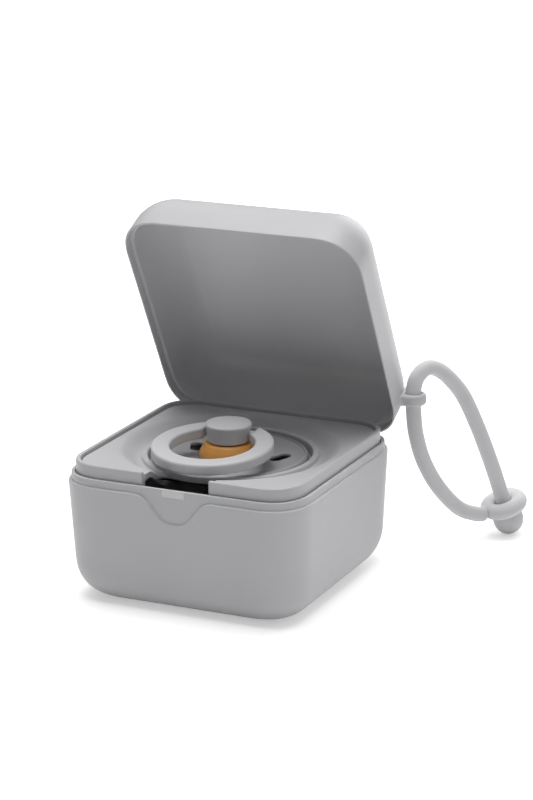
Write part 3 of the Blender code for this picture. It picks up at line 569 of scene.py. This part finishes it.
for side, start in (("left", -KNUCKLE_OUT), ("right", BARREL_HALF + GAP)):
    outline = arc(BARREL_RADIUS, -35, 180, 24, (HINGE.y, HINGE.z))
    outline.append((HINGE.y - BARREL_RADIUS, HINGE.z - GUSSET_DROP))
    outline.append((base_wall(HINGE.z - GUSSET_DROP) - GUSSET_SINK, HINGE.z - GUSSET_DROP))
    knuckle_bm = extrude_outline(
        outline, KNUCKLE_OUT - BARREL_HALF - GAP, Matrix.Translation((start, 0, 0)) @ across_x,
    )
    carve(knuckle_bm, rod_x(PEG_RADIUS + GAP, PEG_END + GAP, HINGE.y, HINGE.z))
    soften(knuckle_bm, sharp_edges(knuckle_bm, HINGE_TURN), KNUCKLE_ROUND, 2)
    make_piece("base_knuckle_" + side, knuckle_bm, shell_plastic, "base")

# Lid shell
# The domed upper half, moulded like the base. Its thin rim laps over the base's lip. It stands open,
# leaning back on the heel of its hinge.
LID_OPEN = math.radians(62.9)
LID_HEIGHT = 0.01945
LID_DRAFT = 0.0002
LID_ROUND = (0.0095, 0.0133)
CROWN_POWER = 1.86
CROWN_STEPS = 16
CROWN_CORNER = 0.43
LID_WALL = 0.00175
LID_INNER_REACH = 0.0083
RIM_INNER = 0.03695
RIM_STEP = 0.03797
RIM_CHAMFER = 0.0002
LID_RIM = BASE_HEIGHT + GAP
lid_opening = (
    Matrix.Translation(HINGE) @ Matrix.Rotation(-LID_OPEN, 4, "X") @ Matrix.Translation(-HINGE)
)


def lid_wall(height):
    """Half width of the lid's outer wall at a height of the closed lid."""
    return HALF - LID_DRAFT * (height - BASE_HEIGHT) / LID_HEIGHT


def lid_inner_corner(half, out=1):
    """Corner size inside the lid."""
    widest = HALF - LID_WALL
    return inset_corner(widest) * half / widest * (CROWN_CORNER + (1 - CROWN_CORNER) * out)


def lid_inside():
    """Sections from the ceiling down to the step inside the rim."""
    spring = BASE_HEIGHT + LID_HEIGHT - LID_ROUND[1]
    sections = []
    for out, rise in reversed(quarter(CROWN_STEPS, CROWN_POWER)):
        height = spring + (LID_ROUND[1] - LID_WALL) * rise
        half = lid_wall(height) - LID_WALL - LID_INNER_REACH * (1 - out)
        sections.append((half, lid_inner_corner(half, out), height))
    shoulder = lid_wall(RIM_STEP) - LID_WALL
    sections.append((shoulder, lid_inner_corner(shoulder), RIM_STEP + RIM_CHAMFER))
    sections.append((shoulder + RIM_CHAMFER, lid_inner_corner(shoulder + RIM_CHAMFER), RIM_STEP))
    return sections


def lid_rim():
    """Sections from the step round the thin rim to the outside."""
    rim = rounded_profile((
        (RIM_INNER, RIM_STEP, 0),
        (RIM_INNER, LID_RIM, FINE_ROUND),
        (HALF, LID_RIM, EDGE_ROUND),
        (lid_wall(LID_RIM + RIM_BAND), LID_RIM + RIM_BAND, 0),
    ))
    return [(half, inset_corner(half), height) for half, height in rim]


def lid_outside():
    """Sections from the outer wall over the crown."""
    spring = BASE_HEIGHT + LID_HEIGHT - LID_ROUND[1]
    sections = []
    for out, rise in quarter(CROWN_STEPS, CROWN_POWER):
        height = spring + LID_ROUND[1] * rise
        half = lid_wall(height) - LID_ROUND[0] * (1 - out)
        sections.append((half, scaled_corner(half, out, CROWN_CORNER), height))
    return sections


lid_bm = bmesh.new()
extrude_sections(lid_bm, lid_inside() + lid_rim() + lid_outside())
carve(lid_bm, rod_x(BARREL_RADIUS + GAP, KNUCKLE_OUT + GAP, HINGE.y, HINGE.z))
lid_bm.transform(lid_opening)
make_piece("lid_skin", lid_bm, shell_plastic, "lid", "lid_shell")

# Lid barrel
# A round barrel between the knuckles, moulded to the lid's rim by a wedge-shaped web, with two snap
# pegs and the heel that meets the base's wall when the lid is open.
WEB_START = 123
WEB_TIP = (-0.000875, 0.0060)
HEEL_TOP = 0.0008
HEEL_FOOT = 0.0039
HEEL_DEPTH = 0.0015
HINGE_ROUND = 0.00015

heel_face = base_wall(HINGE.z - HEEL_TOP) + GAP - HINGE.y
heel_tip = base_wall(HINGE.z - HEEL_FOOT) + GAP - HINGE.y
heel_outline = [
    (heel_face, -HEEL_TOP), (heel_tip, -HEEL_FOOT),
    (heel_tip + HEEL_DEPTH, -HEEL_FOOT), (heel_face + HEEL_DEPTH, -HEEL_TOP),
]
hinge_place = Matrix.Translation((-BARREL_HALF, 0, 0)) @ Matrix.Translation(HINGE) @ across_x
web_outline = arc(BARREL_RADIUS, WEB_START, 360, 36) + [WEB_TIP]
barrel_bm = extrude_outline(web_outline, 2 * BARREL_HALF, hinge_place)
barrel_bm.transform(lid_opening)
heel_bm = extrude_outline(heel_outline, 2 * BARREL_HALF, hinge_place)
pegs_bm = rod_x(PEG_RADIUS, PEG_END, HINGE.y, HINGE.z)
for name, part_bm in (("lid_barrel", barrel_bm), ("lid_heel", heel_bm), ("lid_pegs", pegs_bm)):
    soften(part_bm, sharp_edges(part_bm, HINGE_TURN), HINGE_ROUND, 2)
    make_piece(name, part_bm, shell_plastic, "lid")

# Strap lug
# A flat belt loop moulded on the lid's right side, flared where it meets the wall. The cord passes up
# through its round bore.
LUG_PLACE = Vector((0.0401, 0.02836, 0.04362))
LUG_BORE = 0.00245
LUG_OUTER = 0.00385
LUG_HEIGHT = 0.0035
LUG_FLARE = 0.0012
LUG_SINK = 0.0002
LUG_ROOT = 0.0009
LUG_ROOT_FLARE = 0.0004
LUG_ROUND = 0.0011
LUG_BORE_ROUND = 0.0002

lug_wall = HALF - LUG_PLACE.x
lug_side = arc(LUG_FLARE, -90, -180, 8, (lug_wall + LUG_FLARE - LUG_SINK, LUG_OUTER + LUG_FLARE))
lug_side.append((lug_wall - LUG_ROOT, LUG_OUTER + LUG_FLARE + LUG_ROOT_FLARE))
lug_side.append((lug_wall - 2 * LID_WALL, LUG_OUTER + LUG_FLARE + LUG_ROOT_FLARE))
lug_outline = arc(LUG_OUTER, -90, 90, 36) + lug_side + [(x, -y) for x, y in reversed(lug_side)]
lug_bm = extrude_outline(lug_outline, LUG_HEIGHT, Matrix.Translation((0, 0, -LUG_HEIGHT / 2)))
soften(lug_bm, sharp_edges(lug_bm, 1), LUG_ROUND, 6)
bore_bm = bmesh.new()
bmesh.ops.create_cone(
    bore_bm, cap_ends=True, segments=48, radius1=LUG_BORE, radius2=LUG_BORE, depth=2 * LUG_HEIGHT,
)
carve(lug_bm, bore_bm, LUG_BORE_ROUND)
lug_bm.transform(Matrix.Translation(LUG_PLACE) @ Matrix.Rotation(LID_OPEN, 4, "X"))
lid_room_bm = bmesh.new()
extrude_sections(lid_room_bm, lid_inside())
carve(lug_bm, lid_room_bm)
lug_bm.transform(lid_opening)
make_piece("strap_lug", lug_bm, shell_plastic, "lid")

# Tray
# A lift-out insert moulded in satin plastic: a raised square rim, a flat plate with a round dish, a
# low ridge, and a well whose flange carries the pacifier's shield. Its square skirt stands on the
# base's seat.
TRAY_OUTER = LIP_INNER - GAP
TRAY_RIM_TOP = BASE_HEIGHT + 0.0060
TRAY_PLATE = BASE_HEIGHT + 0.00495
TRAY_RIM_WIDTH = 0.0013
RIM_GROOVE = 0.0005
RIM_GROOVE_DROP = 0.0009
TRAY_SKIRT_WALL = 0.0022
TRAY_WALL = 0.0020
DISH_RADIUS = 0.0327
DISH_FLOOR = BASE_HEIGHT + 0.0018
RIDGE_RADIUS = 0.02565
RIDGE_TOP = BASE_HEIGHT + 0.0031
WELL_RADIUS = 0.02385
WELL_FLANGE = 0.03492
FLANGE_WALL = 0.0013
HOLE_RADIUS = 0.01855
DISH_START = RIDGE_RADIUS + 0.0003
RIDGE_ROUND = 0.0005
SKIRT_ROUND = 0.0006
NOTCH_HALF = 0.01035
NOTCH_FILLET = 0.0030
NOTCH_BAND = 0.0018
NOTCH_FRONT = -0.0395
NOTCH_LOW = 0.0270
NOTCH_CUT = 0.0160
NOTCH_ROUND = 0.00025
UNDERCUT_SIDE = 0.0003
UNDERCUT_SPARE = 0.001
UNDERCUT_HEIGHT = 0.008


def dish_points(drop, steps):
    """Smooth dish from its low ring out to the plate, let down by a drop."""
    points = []
    for step in range(steps + 1):
        share = step / steps
        rise = (1 - math.cos(math.pi * share)) / 2
        height = DISH_FLOOR + (TRAY_PLATE - DISH_FLOOR) * rise - drop
        points.append((DISH_START + (DISH_RADIUS - DISH_START) * share, height))
    return points


def join(bm, other):
    """Add another bmesh's faces to a bmesh."""
    mesh = bpy.data.meshes.new("joining")
    other.to_mesh(mesh)
    other.free()
    bm.from_mesh(mesh)
    bpy.data.meshes.remove(mesh)


def open_loops(bm):
    """The mesh's open edges, as one list for each loop."""
    left = {edge for edge in bm.edges if edge.is_boundary}
    loops = []
    while left:
        loop = [left.pop()]
        for edge in loop:
            for vert in edge.verts:
                for near in vert.link_edges:
                    if near in left:
                        left.remove(near)
                        loop.append(near)
        loops.append(loop)
    return loops


tray_bm = bmesh.new()
round_profile = [(radius - EDGE_ROUND, height) for radius, height in reversed(dish_points(TRAY_WALL, 10))]
round_profile.append((WELL_RADIUS + FLANGE_WALL, WELL_FLANGE - FLANGE_WALL + EDGE_ROUND))
round_profile.append((WELL_RADIUS + FLANGE_WALL - EDGE_ROUND, WELL_FLANGE - FLANGE_WALL))
round_profile += rounded_profile((
    (HOLE_RADIUS, WELL_FLANGE - FLANGE_WALL, 0),
    (HOLE_RADIUS, WELL_FLANGE, 0.0003),
    (WELL_RADIUS, WELL_FLANGE, 0.0004),
    (WELL_RADIUS, RIDGE_TOP, RIDGE_ROUND),
    (RIDGE_RADIUS, RIDGE_TOP, RIDGE_ROUND),
    (RIDGE_RADIUS, DISH_FLOOR, 0.0002),
    (RIDGE_RADIUS + 0.0004, DISH_FLOOR, 0),
))
round_profile += dish_points(0, 20)[1:]
spin_profile(tray_bm, round_profile, 128)

groove_radius = TRAY_OUTER - TRAY_RIM_WIDTH - RIM_GROOVE
square_profile = rounded_profile((
    (groove_radius, TRAY_PLATE, 0),
    (groove_radius, TRAY_PLATE - RIM_GROOVE_DROP, 0.0001),
    (TRAY_OUTER - TRAY_RIM_WIDTH, TRAY_PLATE - RIM_GROOVE_DROP, 0.0001),
    (TRAY_OUTER - TRAY_RIM_WIDTH, TRAY_RIM_TOP, EDGE_ROUND),
    (TRAY_OUTER, TRAY_RIM_TOP, SKIRT_ROUND),
    (TRAY_OUTER, SEAT_HEIGHT + GAP, EDGE_ROUND),
    (TRAY_OUTER - TRAY_SKIRT_WALL, SEAT_HEIGHT + GAP, EDGE_ROUND),
    (TRAY_OUTER - TRAY_SKIRT_WALL, TRAY_PLATE - TRAY_WALL, 0),
))
skirt_bm = bmesh.new()
extrude_sections(skirt_bm, [(half, inset_corner(half), height) for half, height in square_profile])
caps = [face for face in skirt_bm.faces if len(face.verts) > 4]
bmesh.ops.delete(skirt_bm, geom=caps, context="FACES_ONLY")
join(tray_bm, skirt_bm)

loops = open_loops(tray_bm)
loops.sort(key=lambda loop: sum(edge.verts[0].co.z for edge in loop) / len(loop))
for pair in (loops[:2], loops[2:]):
    bmesh.ops.triangle_fill(tray_bm, edges=pair[0] + pair[1], use_beauty=True)

fillet_x = NOTCH_HALF - NOTCH_FILLET
fillet_y = -math.sqrt((RIDGE_RADIUS + NOTCH_FILLET) ** 2 - fillet_x ** 2)
inward = math.degrees(math.atan2(-fillet_y, -fillet_x))
notch_side = arc(NOTCH_FILLET, 0, inward, 12, (fillet_x, fillet_y))
notch_wall = arc(RIDGE_RADIUS, inward - 180, -inward, 32)
notch_outline = [(NOTCH_HALF, NOTCH_FRONT)] + notch_side + notch_wall[1:-1]
notch_outline += [(-x, y) for x, y in reversed(notch_side)] + [(-NOTCH_HALF, NOTCH_FRONT)]
notch_bm = extrude_outline(notch_outline, NOTCH_CUT, Matrix.Translation((0, 0, NOTCH_LOW)))
undercut_width = 2 * NOTCH_HALF - 2 * UNDERCUT_SIDE
undercut_depth = RIDGE_RADIUS - HOLE_RADIUS + 2 * UNDERCUT_SPARE
undercut_middle = RIDGE_TOP - NOTCH_BAND - UNDERCUT_HEIGHT / 2
undercut_bm = bmesh.new()
bmesh.ops.create_cube(undercut_bm, size=1)
undercut_bm.transform(
    Matrix.Translation((0, (-RIDGE_RADIUS - HOLE_RADIUS) / 2, undercut_middle))
    @ Matrix.Diagonal((undercut_width, undercut_depth, UNDERCUT_HEIGHT, 1))
)
carve(tray_bm, undercut_bm)
carve(tray_bm, notch_bm, NOTCH_ROUND)

tray_plastic = make_plastic(
    "satin_tray_plastic", (0.590, 0.590, 0.606), (0.615, 0.615, 0.630), 0.38, 0.48,
)
make_piece("tray_skin", tray_bm, tray_plastic, "tray", "tray")

# Pacifier shield
# A shallow round bowl with a rolled edge and three long air holes, in the same plastic as the knob
# and ring but painted darker, a painted shade for the well it sits in. It rests on the flange of the
# tray's well, with the teat stretched through its middle.
SHIELD_RADIUS = 0.02255
SHIELD_EDGE = BASE_HEIGHT + 0.0029
SHIELD_TOP = BASE_HEIGHT + 0.0013
SHIELD_BOTTOM = SHIELD_TOP - 0.0020
SHIELD_WALL = 0.0009
SHIELD_BOSS = 0.0080
SHIELD_SEAT = WELL_FLANGE + GAP
SHIELD_BEAD = 0.0013
SHIELD_FOOT_ROUND = 0.0006
SHIELD_HOLE = 0.0055
BOWL_STEPS = 12
UNDERSIDE_STEPS = range(9, 2, -1)
VENT_RADIUS = 0.0143
VENT_HALF_WIDTH = 0.0021
VENT_HALF_LENGTH = 0.0036
VENT_TURNS = ((22, 44), (158, -44), (270, 90))
VENT_LOW = 0.0315
VENT_CUT = 0.008
VENT_ROUND = 0.00025


def bowl_point(step, drop):
    """Point of the bowl between its hole and its edge, let down by a drop."""
    share = step / BOWL_STEPS
    rise = (SHIELD_EDGE - SHIELD_BEAD / 2 - SHIELD_TOP) * share ** 3
    reach = (SHIELD_RADIUS - SHIELD_BEAD - SHIELD_HOLE) * share
    return SHIELD_HOLE + reach, SHIELD_TOP + rise - drop


def make_vent(angle_deg, turn_deg):
    """Cutter for one long air hole, turned from the radial direction."""
    along = VENT_HALF_LENGTH - VENT_HALF_WIDTH
    outline = arc(VENT_HALF_WIDTH, -90, 90, 16, (along, 0))
    outline += arc(VENT_HALF_WIDTH, 90, 270, 16, (-along, 0))
    out = Matrix.Rotation(math.radians(angle_deg), 4, "Z") @ Matrix.Translation((VENT_RADIUS, 0, VENT_LOW))
    return extrude_outline(outline, VENT_CUT, out @ Matrix.Rotation(math.radians(turn_deg), 4, "Z"))


bead_centre = (SHIELD_RADIUS - SHIELD_BEAD, SHIELD_EDGE - SHIELD_BEAD)
foot_centre = (SHIELD_RADIUS - SHIELD_FOOT_ROUND, SHIELD_SEAT + SHIELD_FOOT_ROUND)
shield_profile = [bowl_point(step, 0) for step in range(BOWL_STEPS + 1)]
shield_profile += arc(SHIELD_BEAD, 75, 0, 8, bead_centre)
shield_profile += arc(SHIELD_FOOT_ROUND, 0, -90, 5, foot_centre)
shield_profile.append((HOLE_RADIUS - GAP, SHIELD_SEAT))
shield_profile += [bowl_point(step, SHIELD_WALL) for step in UNDERSIDE_STEPS]
shield_profile += [(SHIELD_BOSS, SHIELD_BOTTOM), (SHIELD_HOLE, SHIELD_BOTTOM)]
shield_bm = bmesh.new()
spin_profile(shield_bm, shield_profile, 120, closed=True)
for turns in VENT_TURNS:
    carve(shield_bm, make_vent(*turns), VENT_ROUND)
# Darker than the knob and ring: painted shade for the tray's well that the shield sits in.
shield_painted_shade = make_plastic(
    "shield_painted_shade_plastic", (0.430, 0.430, 0.446), (0.455, 0.455, 0.470), 0.38, 0.48,
)
make_piece("shield_skin", shield_bm, shield_painted_shade, "pacifier", "pacifier_shield")

# Pacifier teat
# Natural latex, dipped on a former: a flared collar between knob and shield, a neck through the
# shield and a hollow cherry-shaped bulb below. The latex is amber and lets light through.
TEAT_COLLAR = 0.0089
TEAT_SIT = SHIELD_TOP + GAP
TEAT_TOP = BASE_HEIGHT + 0.0063
TEAT_BULB = 0.0080
TEAT_TIP = BASE_HEIGHT - 0.0270
TEAT_NECK = 0.0052
TEAT_WALL = 0.0018
TEAT_SHIFT = -0.00025
STEM_BORE = 0.0028
# Shares of the collar's or the bulb's radius, and of the collar's height or the drop to the tip.
COLLAR_SHARES = (
    (0.79, 1), (0.82, 0.88), (0.89, 0.72), (0.965, 0.50), (1, 0.25), (0.99, 0.09), (0.955, 0),
)
NECK_SHARES = ((0.65, 0.13), (0.64, 0.28), (0.74, 0.48))
BULB_SHARES = ((0.93, 0.68), (1, 0.80), (0.92, 0.91), (0.58, 0.98))


def make_latex():
    """Amber latex: deeper where it is thick, with faint dip runs and a waxy shine."""
    made, tree, shader = new_material("amber_latex")
    cloud = noise(tree, 160, 4)
    grain = noise(tree, 2600, 2)
    tint = blend_colour(tree, spread(tree, cloud, 0, 1), (0.72, 0.330, 0.075), (0.82, 0.410, 0.110))
    tree.links.new(tint, shader.inputs["Base Color"])
    tree.links.new(spread(tree, cloud, 0.28, 0.40), shader.inputs["Roughness"])
    tree.links.new(bump(tree, ((cloud, 0.00012), (grain, 0.000008))), shader.inputs["Normal"])
    shader.inputs["Subsurface Weight"].default_value = 0.35
    shader.inputs["Subsurface Radius"].default_value = (0.0030, 0.0012, 0.0003)
    shader.inputs["Subsurface Scale"].default_value = 1
    return made


teat_drop = TEAT_SIT - TEAT_TIP
widest_down = BULB_SHARES[1][1]
teat_profile = [(0, TEAT_TIP + TEAT_WALL)]
for across, down in reversed(NECK_SHARES[2:] + BULB_SHARES[:-1]):
    wall = TEAT_WALL * min(down / widest_down, 1)
    lift = TEAT_WALL * (down > widest_down)
    teat_profile.append((TEAT_BULB * across - wall, TEAT_SIT - teat_drop * down + lift))
teat_profile.append((STEM_BORE, TEAT_SIT - teat_drop * NECK_SHARES[0][1]))
teat_profile.append((STEM_BORE, TEAT_TOP))
for across, up in COLLAR_SHARES:
    teat_profile.append((TEAT_COLLAR * across, TEAT_SIT + (TEAT_TOP - TEAT_SIT) * up))
teat_profile.append((TEAT_NECK, TEAT_SIT))
for across, down in NECK_SHARES + BULB_SHARES:
    teat_profile.append((TEAT_BULB * across, TEAT_SIT - teat_drop * down))
teat_profile.append((0, TEAT_TIP))
teat_bm = bmesh.new()
spin_profile(teat_bm, teat_profile, 40)
teat_bm.transform(Matrix.Translation((TEAT_SHIFT, 0, 0)))
teat = make_piece("teat_skin", teat_bm, make_latex(), "knob", "pacifier_teat", sharp_deg=180)
teat.modifiers.remove(teat.modifiers["even_normals"])
smooth = teat.modifiers.new("smooth", "SUBSURF")
smooth.levels = 2
smooth.render_levels = 2

# Pacifier knob
# A plastic plug that is pressed into the teat: a wide button with a soft edge, a stem, and a cross
# hole that the ring's bar turns in.
KNOB_TOP_RADIUS = 0.0068
KNOB_FOOT_RADIUS = 0.0061
KNOB_SHIFT = -0.0005
KNOB_FOOT = TEAT_TOP + GAP
KNOB_TOP = KNOB_FOOT + 0.0053
STEM_RADIUS = 0.0025
STEM_LENGTH = 0.0080
PIVOT = Vector((0, 0.0010, KNOB_FOOT + 0.00205))
RING_BAR = 0.0012
CROSS_HOLE_HALF = 0.009
CROSS_HOLE_ROUND = 0.0002

knob_profile = rounded_profile((
    (0, KNOB_TOP + 0.0003, 0),
    (KNOB_TOP_RADIUS / 2, KNOB_TOP + 0.00022, 0),
    (KNOB_TOP_RADIUS, KNOB_TOP, 0.0008),
    (KNOB_FOOT_RADIUS, KNOB_FOOT, 0.0003),
    (STEM_RADIUS, KNOB_FOOT, 0.0001),
    (STEM_RADIUS, KNOB_FOOT - STEM_LENGTH, 0.0003),
    (0, KNOB_FOOT - STEM_LENGTH, 0),
), 6)
knob_bm = bmesh.new()
spin_profile(knob_bm, knob_profile, 96)
carve(knob_bm, rod_x(RING_BAR + GAP, CROSS_HOLE_HALF, PIVOT.y, PIVOT.z), CROSS_HOLE_ROUND)
knob_bm.transform(Matrix.Translation((KNOB_SHIFT, 0, 0)))
pacifier_plastic = make_plastic(
    "satin_pacifier_plastic", (0.640, 0.640, 0.656), (0.665, 0.665, 0.680), 0.36, 0.46,
)
make_piece("knob_skin", knob_bm, pacifier_plastic, "knob", "pacifier_knob")

# Pacifier ring
# A flat plastic ring with softly rounded edges, open where the knob sits, with a round bar moulded
# across the opening. It lies tilted, its far side resting just over the tray's dish.
RING_OUTER = 0.0176
RING_INNER = 0.0122
RING_HALF_THICKNESS = 0.0017
RING_REACH = 0.01325
RING_MOUTH_HALF = 0.0075
RING_MOUTH_DEPTH = 0.018
RING_MOUTH_HEIGHT = 0.005
RING_MOUTH_ROUND = 0.0006
RING_BAR_SINK = 0.0010
RING_TILT = math.radians(4.0)
RING_SHIFT = 0.00035

ring_section = rounded_profile((
    (RING_OUTER, RING_HALF_THICKNESS, 0.0010),
    (RING_INNER, RING_HALF_THICKNESS, 0.0008),
    (RING_INNER, -RING_HALF_THICKNESS, 0.0008),
    (RING_OUTER, -RING_HALF_THICKNESS, 0.0010),
), 6)
ring_bm = bmesh.new()
spin_profile(ring_bm, ring_section, 128, closed=True)
ring_bm.transform(Matrix.Translation((RING_SHIFT, -RING_REACH, 0)))
mouth_bm = bmesh.new()
bmesh.ops.create_cube(mouth_bm, size=1)
mouth_bm.transform(Matrix.Diagonal((2 * RING_MOUTH_HALF, RING_MOUTH_DEPTH, RING_MOUTH_HEIGHT, 1)))
carve(ring_bm, mouth_bm, RING_MOUTH_ROUND)
join(ring_bm, rod_x(RING_BAR, RING_MOUTH_HALF + RING_BAR_SINK, 0, 0))
ring_bm.transform(Matrix.Translation(PIVOT) @ Matrix.Rotation(RING_TILT, 4, "X"))
make_piece("ring_skin", ring_bm, pacifier_plastic, "ring", "pacifier_ring")

# Floor, lamps and surroundings
# A plain pale floor throws light up onto the walls. Farther off it looks whiter, which lights nothing.
# A large soft lamp hangs overhead, with a weaker one behind at the left, a low one straight behind, a
# faint one at the right, and a dim even room.
FLOOR_HALF = 4
FLOOR_GLOW_NEAR = 0.42
FLOOR_GLOW_FROM = 0.20
FLOOR_GLOW_FULL = 0.80
LAMP_AIM = Vector((0, 0, 0.04))
ROOM_LIGHT = 0.11

floor_bm = bmesh.new()
bmesh.ops.create_grid(floor_bm, x_segments=1, y_segments=1, size=FLOOR_HALF)
floor_mesh = bpy.data.meshes.new("floor")
floor_bm.to_mesh(floor_mesh)
floor_bm.free()
floor_material, floor_tree, floor_shader = new_material("pale_floor")
floor_shader.inputs["Base Color"].default_value = (0.94, 0.94, 0.94, 1)
floor_shader.inputs["Roughness"].default_value = 0.9
floor_shader.inputs["Specular IOR Level"].default_value = 0
rays = node(floor_tree, "ShaderNodeLightPath")
seen = node(floor_tree, "ShaderNodeMath", operation="MAXIMUM")
floor_tree.links.new(rays.outputs["Is Camera Ray"], seen.inputs[0])
floor_tree.links.new(rays.outputs["Is Glossy Ray"], seen.inputs[1])
floor_place = node(floor_tree, "ShaderNodeTexCoord")
away = node(floor_tree, "ShaderNodeVectorMath", operation="LENGTH")
floor_tree.links.new(floor_place.outputs["Object"], away.inputs[0])
farther = spread(
    floor_tree, away.outputs["Value"], FLOOR_GLOW_NEAR, 1, FLOOR_GLOW_FROM, FLOOR_GLOW_FULL,
)
glow = node(floor_tree, "ShaderNodeMath", operation="MULTIPLY")
floor_tree.links.new(seen.outputs[0], glow.inputs[0])
floor_tree.links.new(farther, glow.inputs[1])
floor_shader.inputs["Emission Color"].default_value = (1, 1, 1, 1)
floor_tree.links.new(glow.outputs[0], floor_shader.inputs["Emission Strength"])
floor_mesh.materials.append(floor_material)
floor = bpy.data.objects.new("floor", floor_mesh)
bpy.context.scene.collection.objects.link(floor)


def add_lamp(name, place, size, power):
    """Square soft lamp that faces the box."""
    lamp_data = bpy.data.lights.new(name, "AREA")
    lamp_data.shape = "SQUARE"
    lamp_data.size = size
    lamp_data.energy = power
    lamp = bpy.data.objects.new(name, lamp_data)
    lamp.location = place
    lamp.rotation_euler = (LAMP_AIM - Vector(place)).to_track_quat("-Z", "Y").to_euler()
    bpy.context.scene.collection.objects.link(lamp)


add_lamp("overhead", (0, 0.05, 1.30), 1.0, 13.2)
add_lamp("back_left", (-0.70, 0.50, 1.00), 1.0, 3.2)
add_lamp("back", (0.10, 1.25, 0.50), 0.9, 6)
add_lamp("right", (1.10, 0.10, 0.80), 0.9, 1.2)

world = bpy.data.worlds.new("surroundings")
world.use_nodes = True
background = world.node_tree.nodes["Background"]
background.inputs["Color"].default_value = (1, 1, 1, 1)
background.inputs["Strength"].default_value = ROOM_LIGHT
bpy.context.scene.world = world
